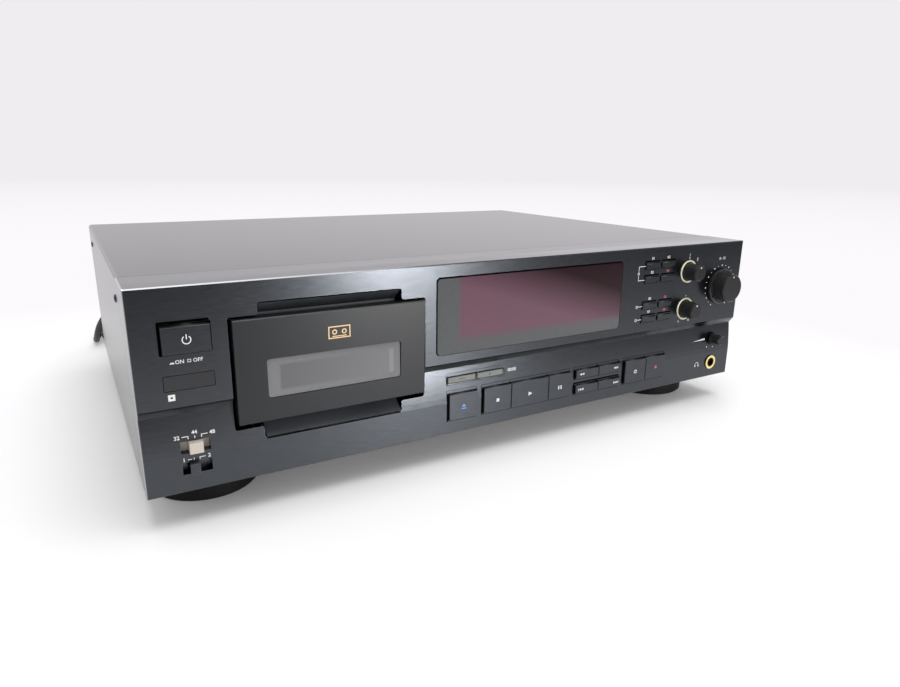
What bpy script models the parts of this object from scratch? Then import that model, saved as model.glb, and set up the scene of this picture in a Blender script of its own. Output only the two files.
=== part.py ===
"""A full-width digital audio tape deck, in metres, +Z up, its front towards -Y.

The origin is at the middle of the deck's footprint, on the surface that its feet stand on.
The case is a moulded fascia, a folded steel cover, a chassis tray and a rear panel. Behind
the tray opening stands the tape mechanism: a cassette tray that slides out on two arms, a
gear that drives the tray's rack, two reel tables, a tilted head drum, a capstan and a pinch
roller on its arm.
"""

import math

import bmesh
import bpy
import numpy as np
from mathutils import Vector
from mathutils.geometry import interpolate_bezier

# Clearances that every piece shares
GAP = 0.0003  # between pieces that touch or run in each other
OVERRUN = 0.0020  # how far a cutter passes the faces that it cuts
WELD = 0.000001  # points closer than this are one point

# Case
CASE_WIDTH = 0.4300
CASE_HEIGHT = 0.1062
CASE_DEPTH = 0.3260
COVER_WALL = 0.0012
COVER_CORNER = 0.0015
PANEL_WALL = 0.0012
CHASSIS_WALL = 0.0012
CHASSIS_LIP = 0.0150
FOOT_HEIGHT = 0.0195
FOOT_RADIUS = 0.0299
FOOT_TOP_RADIUS = 0.0265
FOOT_BAND = 0.0125  # height of the foot's straight side
FOOT_EDGE = 0.0012
FOOT_SIDE_INSET = 0.0360
FOOT_END_INSET = 0.0540

# Fascia
FASCIA_WALL = 0.0025
FASCIA_THICKNESS = 0.0060
FASCIA_RETURN = 0.0350
FASCIA_BOTTOM_RETURN = 0.0200
FASCIA_EDGE = 0.0006
STEP_RISE = 0.0463  # the step's upper edge, above the case's bottom
STEP_BEVEL = 0.0046
STEP_SETBACK = 0.0034
SWEEP_RISE = 0.0205  # where the sweep below the step ends
SWEEP_POWER = 1.3
SWEEP_STEPS = 6
LOWER_SETBACK = 0.0013

# Left column: power key, remote window and two slide switches
LEFT_COLUMN_INSET = 0.0250
POWER_DROP = 0.0256
POWER_OPENING_WIDTH = 0.0242
POWER_OPENING_HEIGHT = 0.0150
POWER_CLEARANCE = 0.0009
POWER_REACH = 0.0035
POWER_STEM = 0.0120
REMOTE_DROP = 0.0474
REMOTE_WIDTH = 0.0241
REMOTE_HEIGHT = 0.0080
REMOTE_CORNER = 0.0005
SWITCH_SLOT_WIDTH = 0.0144
SWITCH_SLOT_HEIGHT = 0.0064
SAMPLING_RISE = 0.0241
MODE_RISE = 0.0129
SAMPLING_LEVER_WIDTH = 0.0065
MODE_LEVER_WIDTH = 0.0048
MODE_LEVER_OFFSET = 0.0014
SAMPLING_TRAVEL = 0.0030  # each way from the middle
MODE_TRAVEL = 0.0028  # one way
LEVER_REACH = 0.0030
LEVER_PLATE = 0.0010
LEVER_PLATE_LAP = 0.0015

# Tray opening and door
TRAY_OPENING_INSET = 0.0448
TRAY_OPENING_WIDTH = 0.1100
TRAY_OPENING_HEIGHT = 0.0605
TALL_OPENING_WIDTH = 0.0800
TALL_OPENING_HEIGHT = 0.0735
TRAY_OPENING_CORNER = 0.0012
TRAY_RISE = 0.0580
DOOR_SIDE_GAP = 0.0016
DOOR_TOP_GAP = 0.0011
DOOR_BOTTOM_GAP = 0.0038
DOOR_TOP_REACH = 0.0036
DOOR_BOTTOM_REACH = 0.0022
DOOR_THICKNESS = 0.0060
DOOR_EDGE = 0.0005
DOOR_BOSS_WIDTH = 0.0500
DOOR_BOSS_HEIGHT = 0.0120
DOOR_WINDOW_WIDTH = 0.0757
DOOR_WINDOW_HEIGHT = 0.0212
DOOR_WINDOW_RISE = 0.0125
DOOR_WINDOW_CORNER = 0.0015
DOOR_PANE_THICKNESS = 0.0020
DOOR_PANE_SETBACK = 0.0004

# Cassette and the tray that carries it
CASSETTE_WIDTH = 0.0730
CASSETTE_DEPTH = 0.0540
CASSETTE_HEIGHT = 0.0105
WELL_CLEARANCE = 0.0010
WELL_RIM = 0.0015  # how far the well's wall stands above the cassette
WELL_DROP = 0.0115  # the well's floor, below the tray's middle
WELL_FLOOR = 0.0020
TRAY_SIDE_GAP = 0.0008
TRAY_TRAVEL = 0.0850
TRAY_FRONT_DEPTH = 0.0120
LIP_SETBACK = 0.0006
LIP_HEIGHT = 0.0062
DISH_DEPTH = 0.0080
SIGHT_WIDTH = 0.0630
SIGHT_HEIGHT = 0.0135
SIGHT_SILL = 0.0006
ARM_LENGTH = 0.1600
ARM_WIDTH = 0.0040
ARM_HEIGHT = 0.0080

# Rack and loading gear
GEAR_MODULE = 0.0010
GEAR_TEETH = 12
RACK_SPARE_TEETH = 3  # past those that the travel needs
ADDENDUM_SHARE = 0.80
DEDENDUM_SHARE = 1.05
PRESSURE_ANGLE = math.radians(20)
BACKLASH = 0.0004
RACK_HEIGHT = 0.0050
GEAR_HEIGHT = 0.0043
GEAR_HUB_RADIUS = 0.0030
GEAR_SETBACK = 0.0250

# Mechanism plate, its rails and the parts that turn on it
MECHANISM_PLATE = 0.0020
MECHANISM_WALL = 0.0025
MECHANISM_TAIL = 0.0060  # past the end of the tray's arms
LEDGE_WIDTH = 0.0045
PLATE_DROP = 0.0040  # the plate, below the tray's arms
RAIL_GAP = 0.0004
RAIL_LIP = 0.0012
RAIL_LIP_WIDTH = 0.0030
PIN_RADIUS = 0.0015
REEL_SPACING = 0.0300
REEL_SETBACK = 0.0400
REEL_RADIUS = 0.0090
REEL_DISC = 0.0030
SPINDLE_RADIUS = 0.0032
SPINDLE_HOLE_RADIUS = 0.0060
DRUM_RADIUS = 0.0150
DRUM_TILT = math.radians(6.4)
DRUM_OFFSET = 0.0068
DRUM_SETBACK = 0.1000
DRUM_FOOT_RADIUS = 0.0175
DRUM_FOOT_HEIGHT = 0.0040
DRUM_SINK = 0.0020  # how deep the tilted half stands in its foot
LOWER_DRUM_HEIGHT = 0.0105
UPPER_DRUM_HEIGHT = 0.0085
DRUM_EDGE = 0.0008
CAPSTAN_OFFSET = 0.0232
CAPSTAN_SETBACK = 0.0880
CAPSTAN_HEIGHT = 0.0250
FLYWHEEL_RADIUS = 0.0120
FLYWHEEL_HEIGHT = 0.0040
PIVOT_OFFSET = 0.0272
PIVOT_SETBACK = 0.1060
PINCH_ARM_LENGTH = 0.0150
PINCH_ARM_HALF_WIDTH = 0.0030
PINCH_ARM_THICKNESS = 0.0025
PINCH_OPEN = 0.0042  # between roller and capstan while the deck is stopped
ROLLER_RADIUS = 0.0050
ROLLER_HEIGHT = 0.0120
MOTOR_RADIUS = 0.0090
MOTOR_LENGTH = 0.0260
MOTOR_SHAFT_RADIUS = 0.0010
MOTOR_SHAFT_LENGTH = 0.0080
MOTOR_SETBACK = 0.0300

# Display, between the tray opening and the identity keys
DISPLAY_MARGIN = 0.0077
DISPLAY_RIGHT_INSET = 0.1232
DISPLAY_DROP = 0.0082
DISPLAY_SILL = 0.0052  # the display's lower edge, above the step
DISPLAY_CORNER = 0.0025
DISPLAY_THICKNESS = 0.0035
TUBE_MARGIN = 0.0060
TUBE_THICKNESS = 0.0052

# Identity keys: two columns of four
ID_COLUMN_INSET = 0.0875  # from the case's right side to the line between the columns
ID_COLUMN_GAP = 0.0012
ID_KEY_WIDTH = 0.0142
ID_KEY_HEIGHT = 0.0040
ID_ROW_SHARES = (0.789, 0.626, 0.312, 0.152)  # of the upper face's height
ID_REACH = 0.0010

# Keys of the lower face
KEY_CLEARANCE = 0.0004
KEY_TRAVEL = 0.0010
KEY_REACH = 0.0020
KEY_EDGE = 0.0003
KEY_FLANGE = 0.0010
KEY_RIB = 0.0020
KEY_MARGIN = 0.0159  # from the tray opening to the first key
KEY_ROW_INSET = 0.0729  # from the last key to the case's right side
KEY_GROUP_GAP = 0.0040
KEY_RISE = 0.0089
KEY_HEIGHT = 0.0175
OPEN_KEY_SHARE = 0.1210  # of the row's width without the gaps between its groups
STOP_KEY_SHARE = 0.1221
PLAY_KEY_SHARE = 0.1726
PAUSE_KEY_SHARE = 0.1107
WIND_KEY_SHARE = 0.1187
RECORD_KEY_SHARE = 0.1181
WIND_KEY_HEIGHT = 0.0066
COUNTER_KEY_WIDTH = 0.0205
COUNTER_KEY_HEIGHT = 0.0047
COUNTER_RISE = 0.0322
COUNTER_REACH = 0.0009

# Knobs and the headphone socket
SHAFT_RADIUS = 0.0030
LEVEL_INSET = 0.0215
LEVEL_DROP = 0.0334
LEVEL_SKIRT_RADIUS = 0.0134
LEVEL_SKIRT_HEIGHT = 0.0020
LEVEL_RADIUS = 0.0104
LEVEL_REACH = 0.0115
SMALL_KNOB_INSET = 0.0581
INPUT_DROP = 0.0195
BALANCE_DROP = 0.0472
SMALL_BASE_RADIUS = 0.0065
SMALL_RADIUS = 0.0057
SMALL_REACH = 0.0111
KNOB_EDGE = 0.0007
PHONES_INSET = 0.0202
PHONES_RISE = 0.0310
PHONES_BASE_RADIUS = 0.0050
PHONES_BASE_HEIGHT = 0.0022
PHONES_RADIUS = 0.0037
PHONES_REACH = 0.0084
PHONES_GRIP_LENGTH = 0.0088
PHONES_GRIP_WIDTH = 0.0024
SOCKET_INSET = 0.0208
SOCKET_RISE = 0.0119
SOCKET_RING_RADIUS = 0.0054
SOCKET_RING_HEIGHT = 0.0006
SOCKET_NECK_RADIUS = 0.0048
SOCKET_BODY_RADIUS = 0.0062
SOCKET_BORE_RADIUS = 0.0032
SOCKET_LENGTH = 0.0300
SOCKET_END_WALL = 0.0012

# Boards, transformer and rear sockets
CONTROL_BOARD_SETBACK = 0.0140
BOARD_THICKNESS = 0.0016
BOARD_MARGIN = 0.0030
POT_SIZE = 0.0120
POT_BORE_DEPTH = 0.0012  # the wall left behind a shaft
MAIN_BOARD_STAND = 0.0090
MAIN_BOARD_SIDE_MARGIN = 0.0070
MAIN_BOARD_FRONT = 0.0450
MAIN_BOARD_REAR = 0.0260
STANDOFF_RADIUS = 0.0030
STANDOFF_INSET = 0.0080
CAPACITOR_RADIUS = 0.0090
CAPACITOR_HEIGHT = 0.0250
CAPACITOR_SHARES = ((0.12, 0.82), (0.24, 0.82))
CHIP_SIZE = 0.0200
CHIP_HEIGHT = 0.0030
CHIP_SHARES = ((0.35, 0.35), (0.60, 0.30), (0.60, 0.62))
TRANSFORMER_WIDTH = 0.0620
TRANSFORMER_DEPTH = 0.0520
TRANSFORMER_HEIGHT = 0.0480
TRANSFORMER_SIDE_INSET = 0.0140
TRANSFORMER_REAR_INSET = 0.0250
WINDING_BULGE = 0.0070
WINDING_MARGIN = 0.0090
JACK_REACH = 0.0075
JACK_RADIUS = 0.0042
JACK_BORE_RADIUS = 0.0016
JACK_BORE_DEPTH = 0.0060
JACK_COLUMNS = 3
JACK_ROWS = 2
JACK_PITCH_X = 0.0190
JACK_PITCH_Z = 0.0170
JACK_BLOCK_DEPTH = 0.0120
JACK_BLOCK_MARGIN = 0.0080
JACK_INSET = 0.1500
JACK_RISE = 0.0460

# Mains lead
GLAND_INSET = 0.0130
GLAND_RISE = 0.0225
GLAND_FLANGE_RADIUS = 0.0078
GLAND_FLANGE_HEIGHT = 0.0020
GLAND_ROOT_RADIUS = 0.0062
GLAND_TIP_RADIUS = 0.0044
GLAND_LENGTH = 0.0240
GLAND_BARREL_RADIUS = 0.0055
GLAND_BARREL_LENGTH = 0.0060
CORD_DIAMETER = 0.0060
CORD_STEP = 0.0120
ROUTE_SHARES = (  # of the way from gland to coil: sideways, backwards and down
    (0.06, 0.08, 0.02),
    (0.24, 0.23, 0.10),
    (0.52, 0.37, 0.26),
    (0.76, 0.49, 0.47),
    (0.91, 0.61, 0.69),
    (0.98, 0.76, 0.88),
    (1.00, 0.91, 0.98),
)
CURVE_STEPS = 12
COIL_INSET = 0.0435  # from the case's left side to the coil's middle
COIL_SETBACK = 0.0980  # the coil's middle, behind the cover's rear edge
COIL_OUTER_RADIUS = 0.0460
COIL_PITCH = 0.0065
COIL_TURNS = 6.25
COIL_CLIMB_TURNS = 0.50
COIL_POINTS_PER_TURN = 24
PLUG_RELIEF_LENGTH = 0.0300
PLUG_RELIEF_RADIUS = 0.0055
PLUG_LENGTH = 0.0260
PLUG_WIDTH = 0.0240
PLUG_HEIGHT = 0.0180
PLUG_EDGE = 0.0030
BLADE_LENGTH = 0.0170
BLADE_WIDTH = 0.0063
BLADE_THICKNESS = 0.0015
BLADE_SPACING = 0.0127

# Counts of sides
BIG_ROUND = 40
ROUND = 24
SMALL_ROUND = 16
TINY_ROUND = 12

# Places that follow from the sizes
LEFT = -CASE_WIDTH / 2
RIGHT = CASE_WIDTH / 2
BOTTOM = FOOT_HEIGHT
TOP = FOOT_HEIGHT + CASE_HEIGHT
FRONT = (LEVEL_REACH - CASE_DEPTH - JACK_REACH) / 2
BACK = FRONT + CASE_DEPTH
FASCIA_BACK = FRONT + FASCIA_THICKNESS
STEP_TOP = BOTTOM + STEP_RISE
TRAY_X = LEFT + TRAY_OPENING_INSET + TRAY_OPENING_WIDTH / 2
TRAY_Z = BOTTOM + TRAY_RISE
TRAY_HALF = TALL_OPENING_WIDTH / 2 - TRAY_SIDE_GAP
FLOOR_TOP = TRAY_Z - WELL_DROP
ARM_BOTTOM = FLOOR_TOP - ARM_HEIGHT
PLATE_TOP = ARM_BOTTOM - PLATE_DROP
PLATE_BOTTOM = PLATE_TOP - MECHANISM_PLATE
RUN_Z = PLATE_TOP + GAP  # where the parts that turn stand on the plate
WELL_FRONT = FRONT + TRAY_FRONT_DEPTH
WELL_BACK = WELL_FRONT + CASSETTE_DEPTH + 2 * WELL_CLEARANCE
WELL_HALF = CASSETTE_WIDTH / 2 + WELL_CLEARANCE
WELL_WALL = TRAY_HALF - WELL_HALF
CONTROL_BOARD_Y = FRONT + CONTROL_BOARD_SETBACK
PITCH_RADIUS = GEAR_MODULE * GEAR_TEETH / 2


def face_setback(z):
    """How far the fascia's surface lies behind its upper plane at height z."""
    bevel_low = STEP_TOP - STEP_BEVEL
    sweep_low = BOTTOM + SWEEP_RISE
    if z >= STEP_TOP:
        return 0.0
    if z >= bevel_low:
        return STEP_SETBACK * (STEP_TOP - z) / STEP_BEVEL
    share = max(0.0, (z - sweep_low) / (bevel_low - sweep_low))
    return LOWER_SETBACK + (STEP_SETBACK - LOWER_SETBACK) * share**SWEEP_POWER


# Outlines and closed shapes


def rectangle(low_a, low_b, high_a, high_b):
    return [(low_a, low_b), (high_a, low_b), (high_a, high_b), (low_a, high_b)]


def circle(middle_a, middle_b, radius, sides):
    turn = 2 * math.pi / sides
    return [
        (middle_a + radius * math.cos(turn * k), middle_b + radius * math.sin(turn * k))
        for k in range(sides)
    ]


def rounded(outline, radius, steps=3):
    """The outline with an arc of this radius at each of its corners, inner or outer."""
    found = []
    for k, corner in enumerate(outline):
        corner = Vector(corner)
        back = (Vector(outline[k - 1]) - corner).normalized()
        on = (Vector(outline[(k + 1) % len(outline)]) - corner).normalized()
        half = back.angle(on) / 2
        middle = corner + (back + on).normalized() * (radius / math.sin(half))
        start = corner + back * (radius / math.tan(half)) - middle
        end = corner + on * (radius / math.tan(half)) - middle
        for step in range(steps + 1):
            spoke = start.lerp(end, step / steps).normalized() * radius
            found.append(tuple(middle + spoke))
    return found


def extrusion(outline, axis, start, end):
    """A closed prism: the outline's two numbers are its place along the other two axes."""
    places = {
        "X": lambda a, b: (start, a, b),
        "Y": lambda a, b: (a, start, b),
        "Z": lambda a, b: (a, b, start),
    }
    along = {"X": Vector((1, 0, 0)), "Y": Vector((0, 1, 0)), "Z": Vector((0, 0, 1))}
    shape = bmesh.new()
    face = shape.faces.new([shape.verts.new(places[axis](a, b)) for a, b in outline])
    grown = bmesh.ops.extrude_face_region(shape, geom=[face])
    moved = [item for item in grown["geom"] if isinstance(item, bmesh.types.BMVert)]
    bmesh.ops.translate(shape, vec=along[axis] * (end - start), verts=moved)
    bmesh.ops.recalc_face_normals(shape, faces=shape.faces)
    return shape


def block(low, high):
    return extrusion(rectangle(low[0], low[1], high[0], high[1]), "Z", low[2], high[2])


def turned(profile, sides, hollow=False):
    """A shape turned about Z from points of (radius, height); a hollow profile is a loop."""
    shape = bmesh.new()
    points = [shape.verts.new((radius, 0, height)) for radius, height in profile]
    ends = points[1:] + points[:1] if hollow else points[1:]
    edges = [shape.edges.new(pair) for pair in zip(points, ends)]
    bmesh.ops.spin(
        shape,
        geom=points + edges,
        cent=(0, 0, 0),
        axis=(0, 0, 1),
        angle=2 * math.pi,
        steps=sides,
    )
    bmesh.ops.remove_doubles(shape, verts=shape.verts, dist=WELD)
    bmesh.ops.recalc_face_normals(shape, faces=shape.faces)
    return shape


def together(shapes):
    """Several closed shapes that stand apart, held in one."""
    whole = bmesh.new()
    for shape in shapes:
        held = bpy.data.meshes.new("held")
        shape.to_mesh(held)
        shape.free()
        whole.from_mesh(held)
        bpy.data.meshes.remove(held)
    return whole


def softened(shape, width, chosen):
    """The shape with a bevel on each edge for which chosen(middle, along) is true."""
    edges = [
        edge
        for edge in shape.edges
        if chosen(
            (edge.verts[0].co + edge.verts[1].co) / 2,
            (edge.verts[1].co - edge.verts[0].co).normalized(),
        )
    ]
    bmesh.ops.bevel(shape, geom=edges, offset=width, segments=1, affect="EDGES")
    return shape


# Objects and materials


def material(name, colour, roughness, metallic=0.0, alpha=1.0):
    made = bpy.data.materials.new(name)
    made.use_nodes = True
    shader = made.node_tree.nodes["Principled BSDF"]
    shader.inputs["Base Color"].default_value = (*colour, 1.0)
    shader.inputs["Roughness"].default_value = roughness
    shader.inputs["Metallic"].default_value = metallic
    shader.inputs["Alpha"].default_value = alpha
    return made


def piece(name, shape, finish, at=(0, 0, 0), turn=(0, 0, 0), smooth=False):
    mesh = bpy.data.meshes.new(name)
    shape.to_mesh(mesh)
    shape.free()
    if finish:
        mesh.materials.append(finish)
    if smooth:
        mesh.shade_smooth()
        mesh.set_sharp_from_angle(angle=math.radians(35))
    made = bpy.data.objects.new(name, mesh)
    made.location = at
    made.rotation_euler = turn
    bpy.context.scene.collection.objects.link(made)
    return made


def shaped_by(target, operation, name, shape, at=(0, 0, 0), turn=(0, 0, 0)):
    """Joins the shape to the target, or cuts it out, through a hidden object."""
    guide = piece(name, shape, None, at, turn)
    guide.hide_render = True
    guide.display_type = "WIRE"
    boolean = target.modifiers.new(name, "BOOLEAN")
    boolean.operation = operation
    boolean.solver = "EXACT"
    boolean.object = guide


FORWARD = (math.radians(90), 0, 0)  # turns +Z to -Y, out of the front
REARWARD = (math.radians(-90), 0, 0)  # turns +Z to +Y, out of the back


# Case


def tray_opening_outline():
    wide = TRAY_OPENING_WIDTH / 2
    tall = TALL_OPENING_WIDTH / 2
    low = TRAY_OPENING_HEIGHT / 2
    high = TALL_OPENING_HEIGHT / 2
    corners = [
        (-wide, -low), (-tall, -low), (-tall, -high), (tall, -high), (tall, -low), (wide, -low),
        (wide, low), (tall, low), (tall, high), (-tall, high), (-tall, low), (-wide, low),
    ]
    outline = [(TRAY_X + across, TRAY_Z + up) for across, up in corners]
    return rounded(outline, TRAY_OPENING_CORNER, steps=2)


def display_corners(spare=0.0):
    return rectangle(
        LEFT + TRAY_OPENING_INSET + TRAY_OPENING_WIDTH + DISPLAY_MARGIN + spare,
        STEP_TOP + DISPLAY_SILL + spare,
        RIGHT - DISPLAY_RIGHT_INSET - spare,
        TOP - DISPLAY_DROP - spare,
    )


def remote_corners(spare=0.0):
    middle_x = LEFT + LEFT_COLUMN_INSET
    middle_z = TOP - REMOTE_DROP
    return rectangle(
        middle_x - REMOTE_WIDTH / 2 + spare,
        middle_z - REMOTE_HEIGHT / 2 + spare,
        middle_x + REMOTE_WIDTH / 2 - spare,
        middle_z + REMOTE_HEIGHT / 2 - spare,
    )


def key_layout():
    """Each key's name with its opening: left, low, right and high edges."""
    start = LEFT + TRAY_OPENING_INSET + TRAY_OPENING_WIDTH + KEY_MARGIN
    low = BOTTOM + KEY_RISE
    high = low + KEY_HEIGHT
    found = {}
    groups = [
        [("open_close_key", OPEN_KEY_SHARE)],
        [("stop_key", STOP_KEY_SHARE), ("play_key", PLAY_KEY_SHARE), ("pause_key", PAUSE_KEY_SHARE)],
        [("rewind_key", WIND_KEY_SHARE), ("forward_key", WIND_KEY_SHARE)],
        [("record_mute_key", RECORD_KEY_SHARE), ("record_key", RECORD_KEY_SHARE)],
    ]
    row_width = RIGHT - KEY_ROW_INSET - start - (len(groups) - 1) * KEY_GROUP_GAP
    left = start
    for group in groups:
        for name, share in group:
            found[name] = (left, low, left + row_width * share, high)
            left += row_width * share
        left += KEY_GROUP_GAP
    for upper, lower in (("rewind_key", "previous_key"), ("forward_key", "next_key")):
        edge, _, end, _ = found[upper]
        found[upper] = (edge, high - WIND_KEY_HEIGHT, end, high)
        found[lower] = (edge, low, end, low + WIND_KEY_HEIGHT)
    low = BOTTOM + COUNTER_RISE
    for place, name in enumerate(("counter_mode_key", "counter_reset_key")):
        left = start + COUNTER_KEY_WIDTH * place
        found[name] = (left, low, left + COUNTER_KEY_WIDTH, low + COUNTER_KEY_HEIGHT)
    return found


def id_key_layout():
    names = (
        ("start_auto_key", "start_renumber_key"),
        ("start_write_key", "start_erase_key"),
        ("skip_write_key", "skip_erase_key"),
        ("end_write_key", "end_erase_key"),
    )
    line = RIGHT - ID_COLUMN_INSET
    found = {}
    for share, (left_name, right_name) in zip(ID_ROW_SHARES, names):
        middle = STEP_TOP + (TOP - STEP_TOP) * share
        low = middle - ID_KEY_HEIGHT / 2
        high = middle + ID_KEY_HEIGHT / 2
        near = ID_COLUMN_GAP / 2
        found[left_name] = (line - near - ID_KEY_WIDTH, low, line - near, high)
        found[right_name] = (line + near, low, line + near + ID_KEY_WIDTH, high)
    return found


def power_corners():
    middle_x = LEFT + LEFT_COLUMN_INSET
    middle_z = TOP - POWER_DROP
    return (
        middle_x - POWER_OPENING_WIDTH / 2,
        middle_z - POWER_OPENING_HEIGHT / 2,
        middle_x + POWER_OPENING_WIDTH / 2,
        middle_z + POWER_OPENING_HEIGHT / 2,
    )


def slot_corners(rise):
    middle_x = LEFT + LEFT_COLUMN_INSET
    middle_z = BOTTOM + rise
    return (
        middle_x - SWITCH_SLOT_WIDTH / 2,
        middle_z - SWITCH_SLOT_HEIGHT / 2,
        middle_x + SWITCH_SLOT_WIDTH / 2,
        middle_z + SWITCH_SLOT_HEIGHT / 2,
    )


def key_openings():
    """Openings for the keys: neighbours without a bar between them share one."""
    keys = key_layout()
    shared = (
        ("open_close_key", "open_close_key"),
        ("stop_key", "pause_key"),
        ("rewind_key", "forward_key"),
        ("previous_key", "next_key"),
        ("record_mute_key", "record_key"),
        ("counter_mode_key", "counter_reset_key"),
    )
    found = [(*keys[first][:2], *keys[last][2:]) for first, last in shared]
    return found + list(id_key_layout().values()) + [
        power_corners(),
        slot_corners(SAMPLING_RISE),
        slot_corners(MODE_RISE),
    ]


KEYS_WITH_LEFT_NEIGHBOUR = (
    "play_key", "pause_key", "forward_key", "next_key", "record_key", "counter_reset_key",
)
KEYS_WITH_RIGHT_NEIGHBOUR = (
    "stop_key", "play_key", "rewind_key", "previous_key", "record_mute_key", "counter_mode_key",
)
KNOBS = {
    "level_knob": (RIGHT - LEVEL_INSET, TOP - LEVEL_DROP),
    "input_knob": (RIGHT - SMALL_KNOB_INSET, TOP - INPUT_DROP),
    "balance_knob": (RIGHT - SMALL_KNOB_INSET, TOP - BALANCE_DROP),
    "phones_knob": (RIGHT - PHONES_INSET, BOTTOM + PHONES_RISE),
}
SOCKET_PLACE = (RIGHT - SOCKET_INSET, BOTTOM + SOCKET_RISE)


def make_fascia(finish):
    """The front moulding: a stepped face with returns at the top, sides and bottom."""
    sweep_low = BOTTOM + SWEEP_RISE
    sweep_high = STEP_TOP - STEP_BEVEL
    heights = [TOP, STEP_TOP]
    heights += [
        sweep_high + (sweep_low - sweep_high) * step / SWEEP_STEPS
        for step in range(SWEEP_STEPS + 1)
    ]
    heights += [BOTTOM]
    outline = [(FRONT + face_setback(z), z) for z in heights]
    end = FRONT + FASCIA_RETURN
    outline += [(end, BOTTOM), (end, TOP)]

    def outer_edge(middle, along):
        if middle.y > FASCIA_BACK:
            return False
        level = abs(along.x) > 0.5
        return not level or middle.z > TOP - WELD or middle.z < BOTTOM + WELD

    shell = softened(extrusion(outline, "X", LEFT, RIGHT), FASCIA_EDGE, outer_edge)
    fascia = piece("front_fascia", shell, finish)

    inner = [
        (FASCIA_BACK, BOTTOM + FASCIA_WALL),
        (FRONT + FASCIA_BOTTOM_RETURN, BOTTOM + FASCIA_WALL),
        (FRONT + FASCIA_BOTTOM_RETURN, BOTTOM - OVERRUN),
        (end + OVERRUN, BOTTOM - OVERRUN),
        (end + OVERRUN, TOP - FASCIA_WALL),
        (FASCIA_BACK, TOP - FASCIA_WALL),
    ]
    hollow = extrusion(inner, "X", LEFT + FASCIA_WALL, RIGHT - FASCIA_WALL)
    shaped_by(fascia, "DIFFERENCE", "fascia_hollow", hollow)

    outlines = [rectangle(*corners) for corners in key_openings()]
    outlines.append(tray_opening_outline())
    outlines.append(rounded(display_corners(), DISPLAY_CORNER))
    outlines.append(rounded(remote_corners(), REMOTE_CORNER, steps=1))
    outlines += [circle(x, z, SHAFT_RADIUS + GAP, SMALL_ROUND) for x, z in KNOBS.values()]
    outlines.append(circle(*SOCKET_PLACE, SOCKET_NECK_RADIUS + GAP, ROUND))
    openings = together(
        extrusion(outline, "Y", FRONT - OVERRUN, FASCIA_BACK + OVERRUN) for outline in outlines
    )
    shaped_by(fascia, "DIFFERENCE", "fascia_openings", openings)


def make_cover(finish):
    """The folded steel cover: a top and two sides."""
    outline = [
        (LEFT, BOTTOM), (LEFT, TOP), (RIGHT, TOP), (RIGHT, BOTTOM),
        (RIGHT - COVER_WALL, BOTTOM), (RIGHT - COVER_WALL, TOP - COVER_WALL),
        (LEFT + COVER_WALL, TOP - COVER_WALL), (LEFT + COVER_WALL, BOTTOM),
    ]
    shape = extrusion(outline, "Y", FRONT + FASCIA_RETURN + GAP, BACK)

    def outer_corner(middle, along):
        return abs(along.y) > 0.5 and middle.z > TOP - WELD and abs(middle.x) > RIGHT - WELD

    piece("top_cover", softened(shape, COVER_CORNER, outer_corner), finish)


def jack_places():
    middle_x = RIGHT - JACK_INSET
    middle_z = BOTTOM + JACK_RISE
    return [
        (
            middle_x + (column - (JACK_COLUMNS - 1) / 2) * JACK_PITCH_X,
            middle_z + (row - (JACK_ROWS - 1) / 2) * JACK_PITCH_Z,
        )
        for column in range(JACK_COLUMNS)
        for row in range(JACK_ROWS)
    ]


GLAND_PLACE = (LEFT + GLAND_INSET, BOTTOM + GLAND_RISE)


def make_rear_panel(finish):
    half = CASE_WIDTH / 2 - COVER_WALL - GAP
    low = (-half, BACK - PANEL_WALL, BOTTOM)
    high = (half, BACK, TOP - COVER_WALL - GAP)
    panel = piece("rear_panel", block(low, high), finish)
    outlines = [circle(x, z, JACK_RADIUS + GAP, TINY_ROUND) for x, z in jack_places()]
    outlines.append(circle(*GLAND_PLACE, GLAND_BARREL_RADIUS + GAP, SMALL_ROUND))
    start = BACK - PANEL_WALL - OVERRUN
    holes = together(extrusion(outline, "Y", start, BACK + OVERRUN) for outline in outlines)
    shaped_by(panel, "DIFFERENCE", "panel_holes", holes)


def main_board_bounds():
    """Low and high corners of the main board, to the right of the mechanism."""
    left = TRAY_X + TRAY_HALF + RAIL_GAP + MECHANISM_WALL + MAIN_BOARD_SIDE_MARGIN
    bottom = BOTTOM + CHASSIS_WALL + MAIN_BOARD_STAND
    low = (left, FRONT + MAIN_BOARD_FRONT, bottom)
    right = RIGHT - FASCIA_WALL - MAIN_BOARD_SIDE_MARGIN
    return low, (right, BACK - MAIN_BOARD_REAR, bottom + BOARD_THICKNESS)


def make_chassis(finish):
    """The bottom tray, with a lip at each side and posts under the main board."""
    half = CASE_WIDTH / 2 - FASCIA_WALL - GAP
    lip = BOTTOM + CHASSIS_LIP
    floor = BOTTOM + CHASSIS_WALL
    inner = half - CHASSIS_WALL
    outline = [
        (-half, BOTTOM), (half, BOTTOM), (half, lip), (inner, lip),
        (inner, floor), (-inner, floor), (-inner, lip), (-half, lip),
    ]
    start = FRONT + FASCIA_BOTTOM_RETURN + GAP
    chassis = piece(
        "bottom_chassis", extrusion(outline, "Y", start, BACK - PANEL_WALL - GAP), finish
    )
    low, high = main_board_bounds()
    posts = together(
        extrusion(
            circle(x, y, STANDOFF_RADIUS, TINY_ROUND), "Z", BOTTOM + CHASSIS_WALL / 2, low[2] - GAP
        )
        for x in (low[0] + STANDOFF_INSET, high[0] - STANDOFF_INSET)
        for y in (low[1] + STANDOFF_INSET, high[1] - STANDOFF_INSET)
    )
    shaped_by(chassis, "UNION", "board_posts", posts)


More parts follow.
